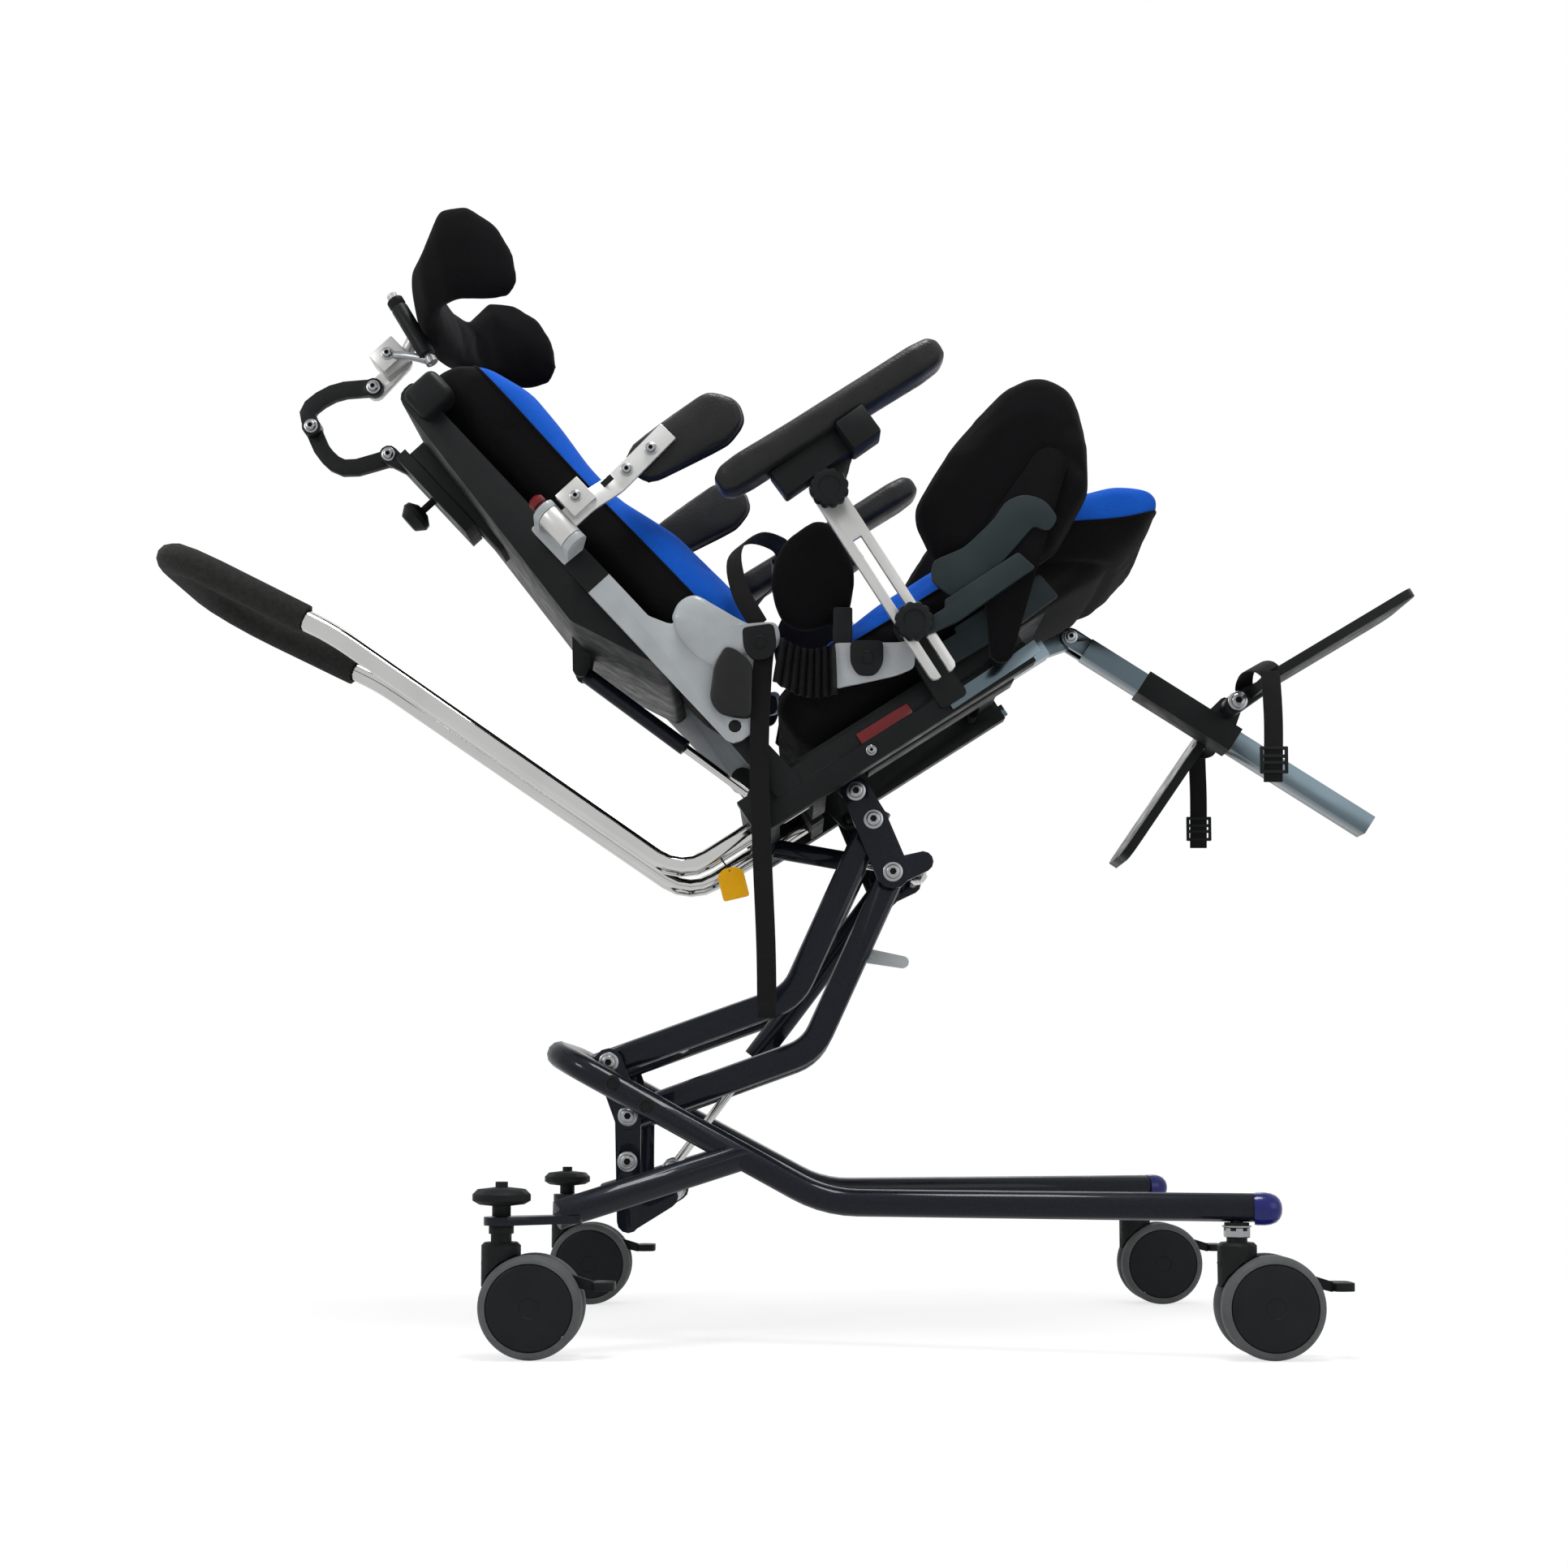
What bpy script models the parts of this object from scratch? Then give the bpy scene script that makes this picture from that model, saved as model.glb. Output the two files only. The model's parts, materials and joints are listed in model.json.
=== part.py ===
# Pediatric activity chair on a high-low frame with casters.
# Metres, +Z up, the chair faces +X, its right side is -Y, origin on the floor under the middle.
import math

import bmesh
import bpy
from mathutils import Vector

# Driving dimensions
GAP = 0.0003                     # clearance between touching pieces
RUN_GAP = 0.0008                 # clearance of turning and sliding fits
# base
TUBE_R = 0.014                   # main tube, 28 mm
FRONT_X = 0.465                  # front tube ends
FRONT_HALF = 0.27
FRONT_Z = 0.143
BEND_X = 0.058                   # where the front tubes turn up
BEND_HALF = 0.165
U_X = -0.224                     # rear U bend
U_HALF = 0.112
U_Z = 0.296
BEND_R = 0.13
U_R = 0.06
STEM_R = 0.006
FRONT_STEM_X = 0.4475
REAR_STEM_X = -0.254
REAR_STEM_HALF = 0.262
LUG_Z = 0.126                    # underside of the rear stem lugs
LUG_T = 0.008
# casters
WHEEL_R = 0.050
WHEEL_SEGMENTS = 20
WHEEL_T = 0.018
WEB_T = 0.013
TRAIL = 0.030                    # stem to axle
AXLE_R = 0.006
HOUSING_R = 0.019
HOUSING_TOP = 0.110
BUMPER_R = 0.028
# lift
PLATE_T = 0.006
PLATE_IN = 0.0935                # inner face of the pivot and carrier plates
ARM_D = 0.029                    # arm tube, depth and width
ARM_W = 0.022
ARM_OUT = 0.0925                 # outer face of the arm tubes
LINK_X = -0.0205                 # lower pivot to upper pivot
LINK_Z = 0.056
REAR_PIVOT = (-0.148, 0.230)     # lower arm pivots and elbow, side view
ELBOW = (0.045, 0.300)
TOP_PIVOT = (0.130, 0.487)
ELBOW_R = 0.05
PIVOT_R = 0.007
SPRING_FOOT = (-0.107, 0.174)
SPRING_R = 0.0135
ROD_R = 0.005
TILT_PIVOT = (0.091, 0.573)
# seat, local frame at the recline pivot: x along the seat, z square to it
RECLINE_PIVOT = (-0.035, 0.630)
SEAT_ANGLE = 32.5                # nose up
BACK_ANGLE = 10.5                # back past square to the seat
FRAME_HALF = 0.150               # outer face of the seat rails
RAIL_W = 0.022
RAIL_LOW = -0.108
RAIL_TOP = -0.066
RAIL_REAR = -0.040
RAIL_FRONT = 0.300
CUSHION_HALF = FRAME_HALF - 0.002
# arm rests
POST_X = 0.205
POST_Y = FRAME_HALF + 0.038       # middle of the armrest posts
POST_W = 0.030
POST_T = 0.007
PAD_Z = 0.205
PAD_LEN = 0.266
PAD_THICK = 0.034
KNOB_R = 0.020
KNOB_LOBES = 8
LOBE_DEPTH = 0.0012
# push handle
PUSH_R = 0.011
PUSH_HALF = 0.090
GRIP_R = 0.0165
# leg rest
LEG_ANGLE = -32.7
LEG_LEN = 0.390
LEG_W = 0.030
LEG_D = 0.022
FOOT_T = 0.010
FOOT_W = 0.105
# finishes: colour, roughness, metallic
FINISHES = {
    "frame_lacquer": ((0.012, 0.017, 0.024, 1), 0.25, 0.6),
    "caster_plastic": ((0.013, 0.014, 0.015, 1), 0.5, 0.0),
    "tyre_rubber": ((0.060, 0.065, 0.068, 1), 0.7, 0.0),
    "chrome": ((0.75, 0.75, 0.76, 1), 0.08, 1.0),
    "aluminium": ((0.55, 0.55, 0.55, 1), 0.35, 1.0),
    "silver_plastic": ((0.38, 0.38, 0.37, 1), 0.4, 0.4),
    "dark_plastic": ((0.020, 0.027, 0.031, 1), 0.5, 0.0),
    "black_fabric": ((0.004, 0.004, 0.005, 1), 0.95, 0.0),
    "black_vinyl": ((0.008, 0.008, 0.008, 1), 0.45, 0.0),
    "foam": ((0.030, 0.030, 0.028, 1), 0.9, 0.0),
    "red_plastic": ((0.26, 0.004, 0.008, 1), 0.4, 0.0),
}


# Outlines and paths

def arc(centre, radius, start, end, steps):
    """Points of an arc in a plane, angles in degrees."""
    points = []
    for i in range(steps + 1):
        a = math.radians(start + (end - start) * i / steps)
        points.append((centre[0] + radius * math.cos(a), centre[1] + radius * math.sin(a)))
    return points


def belt(circles, steps=12):
    """Convex outline round several circles (x, z, radius), like a belt round pulleys."""
    cloud = []
    for x, z, r in circles:
        cloud += arc((x, z), r, 0, 360 - 360 / steps, steps - 1)
    cloud = sorted(set((round(a, 7), round(b, 7)) for a, b in cloud))

    def half(points):
        chain = []
        for p in points:
            while len(chain) > 1 and turn(chain[-2], chain[-1], p) <= 1e-12:
                chain.pop()
            chain.append(p)
        return chain[:-1]

    return half(cloud) + half(cloud[::-1])


def turn(a, b, c):
    return (b[0] - a[0]) * (c[1] - a[1]) - (b[1] - a[1]) * (c[0] - a[0])


def fillet(points, radius, steps=4, closed=True):
    """Rounds the corners of a polyline in two or three dimensions."""
    pts = [Vector(p) for p in points]
    out = []
    last = len(pts) - 1
    for i, p in enumerate(pts):
        if not closed and i in (0, last):
            out.append(p)
            continue
        before = pts[i - 1] - p
        after = pts[(i + 1) % len(pts)] - p
        corner = before.angle(after)
        wanted = radius[i] if isinstance(radius, (list, tuple)) else radius
        reach = min(wanted / math.tan(corner / 2), before.length * 0.49, after.length * 0.49)
        r = reach * math.tan(corner / 2)
        middle = p + (before.normalized() + after.normalized()).normalized() * (r / math.sin(corner / 2))
        first = p + before.normalized() * reach - middle
        final = p + after.normalized() * reach - middle
        sweep_angle = first.angle(final)
        for k in range(steps + 1):
            f = k / steps
            a = math.sin((1 - f) * sweep_angle) / math.sin(sweep_angle)
            b = math.sin(f * sweep_angle) / math.sin(sweep_angle)
            out.append(middle + first * a + final * b)
    return out


def ring(radius, sides):
    return [(radius * math.cos(2 * math.pi * i / sides), radius * math.sin(2 * math.pi * i / sides))
            for i in range(sides)]


def round_box(width, height, radius, steps=2):
    """Rounded rectangle about the origin."""
    w, h = width / 2, height / 2
    return [tuple(p) for p in fillet([(-w, -h), (w, -h), (w, h), (-w, h)], radius, steps)]


def smooth(points, count):
    """Reads count points from a smooth curve through hand-set points."""
    pts = [Vector(p) for p in points]
    pts = [pts[0] * 2 - pts[1]] + pts + [pts[-1] * 2 - pts[-2]]
    out = []
    for i in range(count):
        s = i / (count - 1) * (len(pts) - 3)
        k = min(int(s), len(pts) - 4)
        f = s - k
        a, b, c, d = pts[k:k + 4]
        out.append(0.5 * (2 * b + (c - a) * f + (2 * a - 5 * b + 4 * c - d) * f * f
                          + (3 * b - a - 3 * c + d) * f ** 3))
    return out


# Solids

def solid(name, bm, finish, parent=None, smooth_angle=35):
    """Closes a bmesh into a named object with its finish."""
    bmesh.ops.remove_doubles(bm, verts=bm.verts, dist=1e-6)
    bmesh.ops.recalc_face_normals(bm, faces=bm.faces)
    mesh = bpy.data.meshes.new(name)
    bm.to_mesh(mesh)
    bm.free()
    mesh.shade_smooth()
    mesh.set_sharp_from_angle(angle=math.radians(smooth_angle))
    mesh.materials.append(bpy.data.materials[finish])
    obj = bpy.data.objects.new(name, mesh)
    bpy.context.scene.collection.objects.link(obj)
    obj.parent = parent
    return obj


def loft(rings):
    """Skins rings with equal point counts and caps both ends."""
    bm = bmesh.new()
    loops = [[bm.verts.new(p) for p in r] for r in rings]
    for low, high in zip(loops, loops[1:]):
        for i in range(len(low)):
            j = (i + 1) % len(low)
            bm.faces.new((low[i], low[j], high[j], high[i]))
    bm.faces.new(loops[0][::-1])
    bm.faces.new(loops[-1])
    return bm


def plate(outline, low, high):
    """Side-view outline (x, z) pushed along Y."""
    return loft([[(p[0], y, p[1]) for p in outline] for y in (low, high)])


def slab(outline, low, high):
    """Plan outline (x, y) pushed along Z."""
    return loft([[(p[0], p[1], z) for p in outline] for z in (low, high)])


def block(low, high):
    (x0, y0, z0), (x1, y1, z1) = low, high
    return slab([(x0, y0), (x1, y0), (x1, y1), (x0, y1)], z0, z1)


def turned(profile, centre, axis="Y", segments=16, phase=0.0):
    """Revolves (radius, height) points about an axis through centre; the ends are closed flat."""
    rings = []
    for r, h in profile:
        points = []
        for i in range(segments):
            a = 2 * math.pi * (i + phase) / segments
            c, s = r * math.cos(a), r * math.sin(a)
            p = {"X": (h, c, s), "Y": (c, h, s), "Z": (c, s, h)}[axis]
            points.append(Vector(p) + Vector(centre))
        rings.append(points)
    return loft(rings)


def rod(start, end, radius, segments=10):
    """Round bar between two points."""
    return sweep([start, end], ring(radius, segments))


def sweep(path, profile, up=None):
    """Carries a profile (across, up) along a path, without twist or with its up side kept to up."""
    pts = [Vector(p) for p in path]
    carried = Vector(up) if up else (pts[1] - pts[0]).orthogonal()
    rings = []
    for i, p in enumerate(pts):
        ahead = pts[min(i + 1, len(pts) - 1)] - pts[max(i - 1, 0)]
        along = ahead.normalized()
        lift = Vector(up) if up else carried
        lift = (lift - along * along.dot(lift)).normalized()
        carried = lift
        side = along.cross(lift)
        rings.append([p + side * x + lift * z for x, z in profile])
    return loft(rings)


def combine(target, tools, operation):
    """Boolean of target with tools, which are used up."""
    for tool in tools:
        step = target.modifiers.new("step", "BOOLEAN")
        step.operation = operation
        step.object = tool
        step.solver = "EXACT"
        bpy.context.view_layer.update()
        done = target.evaluated_get(bpy.context.evaluated_depsgraph_get())
        mesh = bpy.data.meshes.new_from_object(done)
        target.modifiers.clear()
        target.data = mesh
        bpy.data.objects.remove(tool)
    target.data.shade_smooth()
    target.data.set_sharp_from_angle(angle=math.radians(35))
    return target


def weld(target, *meshes):
    """Adds bmeshes to an object as one body."""
    finish = target.data.materials[0].name
    return combine(target, [solid("tool", bm, finish) for bm in meshes], "UNION")


def bore(target, *meshes):
    """Cuts bmeshes out of an object."""
    finish = target.data.materials[0].name
    return combine(target, [solid("tool", bm, finish) for bm in meshes], "DIFFERENCE")


def axes(name, place, angle, parent=None):
    """Empty whose x axis is turned nose up by angle about Y."""
    empty = bpy.data.objects.new(name, None)
    bpy.context.scene.collection.objects.link(empty)
    empty.parent = parent
    empty.location = place
    empty.rotation_euler = (0, math.radians(-angle), 0)
    return empty


def start():
    for obj in list(bpy.data.objects):
        bpy.data.objects.remove(obj)
    for name, (colour, roughness, metallic) in FINISHES.items():
        mat = bpy.data.materials.new(name)
        mat.use_nodes = True
        shader = mat.node_tree.nodes["Principled BSDF"]
        shader.inputs["Base Color"].default_value = colour
        shader.inputs["Roughness"].default_value = roughness
        shader.inputs["Metallic"].default_value = metallic


# Base

def on_slope(x):
    """Half width and height of the main tube's centre line on its sloping stretch."""
    f = (BEND_X - x) / (BEND_X - U_X)
    return BEND_HALF + (U_HALF - BEND_HALF) * f, FRONT_Z + (U_Z - FRONT_Z) * f


def front_half(x):
    """Half width of the main tube's centre line on its level stretch."""
    return BEND_HALF + (FRONT_HALF - BEND_HALF) * (x - BEND_X) / (FRONT_X - BEND_X)


FIXING_X = (-0.126, -0.160)      # bolts that hold the pivot frame to the sloping tubes
LEG_ROOT_X = -0.027
LEG_R = 0.013
FIXING_R = 0.005


def base():
    path = [(FRONT_X, -FRONT_HALF, FRONT_Z), (BEND_X, -BEND_HALF, FRONT_Z), (U_X, -U_HALF, U_Z)]
    path += [(x, -y, z) for x, y, z in reversed(path)]
    bends = [0, BEND_R, U_R, U_R, BEND_R, 0]
    frame = solid("base_tube", sweep(fillet(path, bends, 5, closed=False), ring(TUBE_R, 12)),
                  "frame_lacquer")
    for side in (-1, 1):
        half, height = on_slope(LEG_ROOT_X)
        foot = (REAR_STEM_X + 0.05, side * (REAR_STEM_HALF - 0.026), LUG_Z + LUG_T)
        leg = sweep([(LEG_ROOT_X, side * half, height), foot], round_box(2 * LEG_R, 1.6 * LEG_R, 0.005))
        lug = belt([(REAR_STEM_X, side * REAR_STEM_HALF, 0.017),
                    (foot[0] + 0.012, foot[1] - side * 0.006, 0.012)])
        weld(frame, leg, slab(lug, LUG_Z, LUG_Z + LUG_T))
        stem_hole = STEM_R + RUN_GAP
        bore(frame, rod((REAR_STEM_X, side * REAR_STEM_HALF, 0), (REAR_STEM_X, side * REAR_STEM_HALF, 0.2),
                        stem_hole))
        y = side * front_half(FRONT_STEM_X)
        bore(frame, rod((FRONT_STEM_X, y, 0), (FRONT_STEM_X, y, FRONT_Z + 0.004), stem_hole))
        for x in FIXING_X:
            half, height = on_slope(x)
            bore(frame, rod((x, 0, height), (x, side * (half + 0.004), height), FIXING_R + GAP))


def casters():
    inner = WEB_T / 2 + 0.001
    outer = inner + WHEEL_T
    axle_z = WHEEL_R * math.cos(math.pi / WHEEL_SEGMENTS)
    half_profile = [(0.0385, -outer + 0.0015), (0.0400, -outer), (0.0455, -outer), (WHEEL_R, -outer + 0.005),
                    (WHEEL_R, -inner - 0.002), (AXLE_R, -inner)]
    profile = half_profile + [(r, -h) for r, h in reversed(half_profile)]
    pin = (TRAIL + 0.012, axle_z + 0.032)
    tip = (TRAIL + 0.058, axle_z + 0.019)
    for end in ("front", "rear"):
        for hand, side in (("right", -1), ("left", 1)):
            rear = end == "rear"
            x = REAR_STEM_X if rear else FRONT_STEM_X
            y = side * (REAR_STEM_HALF if rear else front_half(FRONT_STEM_X))
            seat = LUG_Z if rear else FRONT_Z - TUBE_R
            turned_part = [(HOUSING_R, 0.068), (HOUSING_R, HOUSING_TOP - 0.003),
                           (HOUSING_R - 0.003, HOUSING_TOP), (0.010, HOUSING_TOP), (0.010, seat - 0.008),
                           (0.012, seat - 0.008), (0.012, seat - GAP), (STEM_R, seat - GAP)]
            if rear:
                top = LUG_Z + LUG_T + GAP
                turned_part += [(STEM_R, top), (0.009, top), (0.009, top + 0.010), (0.022, top + 0.0115),
                                (BUMPER_R, top + 0.015), (BUMPER_R, top + 0.021), (0.023, top + 0.026),
                                (0.006, top + 0.028), (0.006, top + 0.033)]
            else:
                turned_part += [(STEM_R, FRONT_Z + 0.003)]
            fork = solid(f"{end}_{hand}_caster_fork", turned(turned_part, (0, 0, 0), "Z", 12),
                         "caster_plastic")
            web = belt([(-0.004, 0.090, 0.014), (TRAIL, axle_z, 0.015), (pin[0], pin[1], 0.009)])
            weld(fork, plate(web, -WEB_T / 2, WEB_T / 2))
            clear = WHEEL_R + 0.0015
            centre = (TRAIL, 0, axle_z)
            bore(fork, turned([(clear, -0.04), (clear, -WEB_T / 2)], centre, "Y", WHEEL_SEGMENTS),
                 turned([(clear, WEB_T / 2), (clear, 0.04)], centre, "Y", WHEEL_SEGMENTS),
                 rod((TRAIL, -0.02, axle_z), (TRAIL, 0.02, axle_z), AXLE_R + RUN_GAP),
                 block((TRAIL + 0.001, -0.02, axle_z + 0.018), (0.2, -0.0005, 0.2)))
            weld(fork, rod((pin[0], 0, pin[1]), (pin[0], -WEB_T / 2, pin[1]), 0.003, 8))
            wheels = solid(f"{end}_{hand}_wheels", turned(profile, centre, "Y", WHEEL_SEGMENTS, 0.5),
                           "tyre_rubber")
            shank = belt([(pin[0], pin[1], 0.0065), (tip[0], tip[1], 0.005)], 8)
            pedal = solid(f"{end}_{hand}_brake_pedal", plate(shank, -WEB_T / 2, -0.0008), "caster_plastic")
            tab = fillet([(tip[0], -0.017), (tip[0] + 0.021, -0.014),
                          (tip[0] + 0.021, 0.014), (tip[0], 0.017)],
                         0.006, 2)
            weld(pedal, slab(tab, tip[1] - 0.004, tip[1] + 0.004))
            bore(pedal, rod((pin[0], -0.02, pin[1]), (pin[0], 0.02, pin[1]), 0.003 + GAP, 8))
            for piece in (fork, wheels, pedal):
                piece.location = (x, y, 0)


# High-low lift

UPPER_REAR = (REAR_PIVOT[0] + LINK_X, REAR_PIVOT[1] + LINK_Z)
UPPER_ELBOW = (ELBOW[0] + LINK_X, ELBOW[1] + LINK_Z)
UPPER_TOP = (TOP_PIVOT[0] + LINK_X, TOP_PIVOT[1] + LINK_Z)
POST_FOOT = (-0.147, 0.120)
FOOT_BAR = (-0.107, 0.146)
TILT_LUG = (0.162, 0.498)        # tilt spring on the carrier
TILT_SEAT = (-0.004, 0.527)      # tilt spring on the seat
LEVER_PIVOT = (0.098, 0.402)
LEVER_TIP = (0.142, 0.394)
EAR_T = 0.005
EAR_GAP = 0.0095                 # half gap between spring ears


def across(point, radius, half, segments=10):
    """Round bar across the chair through a side-view point."""
    return rod((point[0], -half, point[1]), (point[0], half, point[1]), radius, segments)


def pair(outline, low, high):
    """A plate on each side of the middle."""
    return [plate(outline, low, high), plate(outline, -high, -low)]


def pivot_frame():
    posts = belt([(*REAR_PIVOT, 0.0150), (*UPPER_REAR, 0.0150)])
    legs = belt([(*REAR_PIVOT, 0.0135), (*POST_FOOT, 0.0120)])
    feet = belt([(*POST_FOOT, 0.0110), (*FOOT_BAR, 0.0120)])
    low, high = PLATE_IN, PLATE_IN + PLATE_T
    frame = solid("pivot_frame", plate(posts, low, high), "frame_lacquer")
    weld(frame, plate(legs, low + 0.0004, high - 0.0004), plate(feet, low + 0.0008, high - 0.0008),
         across(POST_FOOT, 0.010, high - 0.002), across(FOOT_BAR, 0.010, high - 0.002))
    weld(frame, plate(posts, -high, -low), plate(legs, 0.0004 - high, -low - 0.0004),
         plate(feet, 0.0008 - high, -low - 0.0008))
    ears = belt([(*SPRING_FOOT, 0.009), (*FOOT_BAR, 0.008)])
    weld(frame, *pair(ears, EAR_GAP, EAR_GAP + EAR_T), across(SPRING_FOOT, 0.004, EAR_GAP + EAR_T))
    for side in (-1, 1):
        reach = side * (ARM_OUT - ARM_W - 0.001)
        for spot in (REAR_PIVOT, UPPER_REAR):
            weld(frame, rod((spot[0], side * (high - 0.001), spot[1]), (spot[0], reach, spot[1]), PIVOT_R))
        tabs = []
        for x in FIXING_X:
            half, height = on_slope(x)
            tabs.append((x, height, 0.011))
            weld(frame, rod((x, side * (low + 0.002), height), (x, side * half, height), FIXING_R))
        tab = belt(tabs + [(*REAR_PIVOT, 0.010)])
        weld(frame, plate(tab, *sorted((side * (low + 0.0012), side * (high - 0.0012)))))


def arm_frame(name, rear, elbow, top, bars):
    """Two bent tubes with bored ends, joined by cross bars."""
    path = [(p[0], 0, p[1]) for p in (rear, elbow, top)]
    bent = fillet(path, ELBOW_R, 5, closed=False)
    first = (bent[1] - bent[0]).normalized() * 0.014
    last = (bent[-1] - bent[-2]).normalized() * 0.014
    bent = [bent[0] - first] + bent[1:-1] + [bent[-1] + last]
    middle = ARM_OUT - ARM_W / 2
    profile = round_box(ARM_D, ARM_W, 0.006)
    tubes = [sweep([p + Vector((0, side * middle, 0)) for p in bent], profile, (0, 1, 0)) for side in (-1, 1)]
    frame = solid(name, tubes[0], "frame_lacquer")
    bar_list = [across(spot, 0.010, middle) for spot in bars]
    weld(frame, bar_list[0], tubes[1], *bar_list[1:])
    bore(frame, across(rear, PIVOT_R + RUN_GAP, 0.2), across(top, PIVOT_R + RUN_GAP, 0.2))
    return frame


def along(a, b, f):
    return (a[0] + (b[0] - a[0]) * f, a[1] + (b[1] - a[1]) * f)


def lift_arms():
    lower = arm_frame("lower_arm", REAR_PIVOT, ELBOW, TOP_PIVOT, [along(REAR_PIVOT, ELBOW, 0.9)])
    arm_frame("upper_arm", UPPER_REAR, UPPER_ELBOW, UPPER_TOP, [along(UPPER_REAR, UPPER_ELBOW, 0.35)])
    inner = ARM_OUT - ARM_W
    weld(lower, rod((LEVER_PIVOT[0], -inner - 0.004, LEVER_PIVOT[1]),
                    (LEVER_PIVOT[0], -inner + 0.010, LEVER_PIVOT[1]),
                    0.004, 8))
    lever = solid("height_lever", plate(belt([(*LEVER_PIVOT, 0.008), (*LEVER_TIP, 0.0065)], 12),
                                        -inner + 0.0010, -inner + 0.0080), "dark_plastic")
    bore(lever, across(LEVER_PIVOT, 0.004 + GAP, 0.2, 8))


def carrier():
    low, high = PLATE_IN, PLATE_IN + PLATE_T
    outline = belt([(*TILT_PIVOT, 0.015), (*UPPER_TOP, 0.015), (*TOP_PIVOT, 0.018)])
    lug = belt([(*TOP_PIVOT, 0.015), (*TILT_LUG, 0.011)])
    frame = solid("carrier", plate(outline, low, high), "frame_lacquer")
    weld(frame, across(TOP_PIVOT, PIVOT_R, high - 0.001), across(UPPER_TOP, PIVOT_R, high - 0.001),
         plate(outline, -high, -low))
    weld(frame, *pair(lug, low + 0.0006, high - 0.0006), across(TILT_LUG, 0.006, high - 0.002))
    for side in (-1, 1):
        weld(frame, rod((TILT_PIVOT[0], side * (high - 0.001), TILT_PIVOT[1]),
                        (TILT_PIVOT[0], side * (low - 0.016), TILT_PIVOT[1]), PIVOT_R))


def gas_spring(name, foot, head, radius, overlap, eye_r, clear, travel, parent=None):
    """Rod with an eye on the foot pin and a bored cylinder that stops short of the head bar."""
    a, b = Vector((foot[0], 0, foot[1])), Vector((head[0], 0, head[1]))
    line = (b - a).normalized()
    length = (b - a).length
    start_at = length * (1 - overlap)
    piston = solid(f"{name}_rod", sweep([a, a + line * (start_at + length * 0.35)], ring(ROD_R, 10)),
                   "chrome")
    eye = turned([(eye_r + 0.006, -0.008), (eye_r + 0.006, 0.008)], a, "Y", 14)
    weld(piston, eye)
    bore(piston, across(foot, eye_r + GAP, 0.05, 12))
    barrel = solid(f"{name}_cylinder", sweep([a + line * start_at, b - line * clear], ring(radius, 14)),
                   "caster_plastic")
    inside = start_at + length * 0.35 + travel + 0.004
    bore(barrel, sweep([a + line * (start_at - 0.01), a + line * inside], ring(ROD_R + GAP, 10)))
    piston.parent = parent
    barrel.parent = parent


def springs():
    gas_spring("lift_spring", SPRING_FOOT, TOP_PIVOT, SPRING_R, 0.62, 0.004, PIVOT_R + 0.003, 0.032)
    gas_spring("tilt_spring", TILT_LUG, TILT_SEAT, 0.011, 0.58, 0.006, 0.0085, 0.004)


# Seat

def to_seat(point):
    """Side-view point of the chair in the seat's own frame."""
    a = math.radians(SEAT_ANGLE)
    x, z = point[0] - RECLINE_PIVOT[0], point[1] - RECLINE_PIVOT[1]
    return (x * math.cos(a) + z * math.sin(a), z * math.cos(a) - x * math.sin(a))


PAN_T = 0.008
PAN_FRONT = 0.340
PUSH_W = -0.0925                 # push tube height in the seat frame
BEAM_LOW = -0.107
LEG_SLIDE_W = -0.082             # middle of the leg extension tube
LEG_SLIDE_D = 0.018
LEG_PIVOT = (0.380, -0.0875)     # leg rest hinge in the seat frame
CLAMP_W = -0.016                 # lower armrest knob
HINGE_W = 0.143                  # upper armrest knob
STUD_R = 0.004
SLIDER = (0.265, -0.087)         # thigh pad slide rods
SLIDER_R = 0.006
RECLINE_R = 0.006
STRUT_SEAT = (-0.012, -0.050)    # recline spring foot


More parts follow.
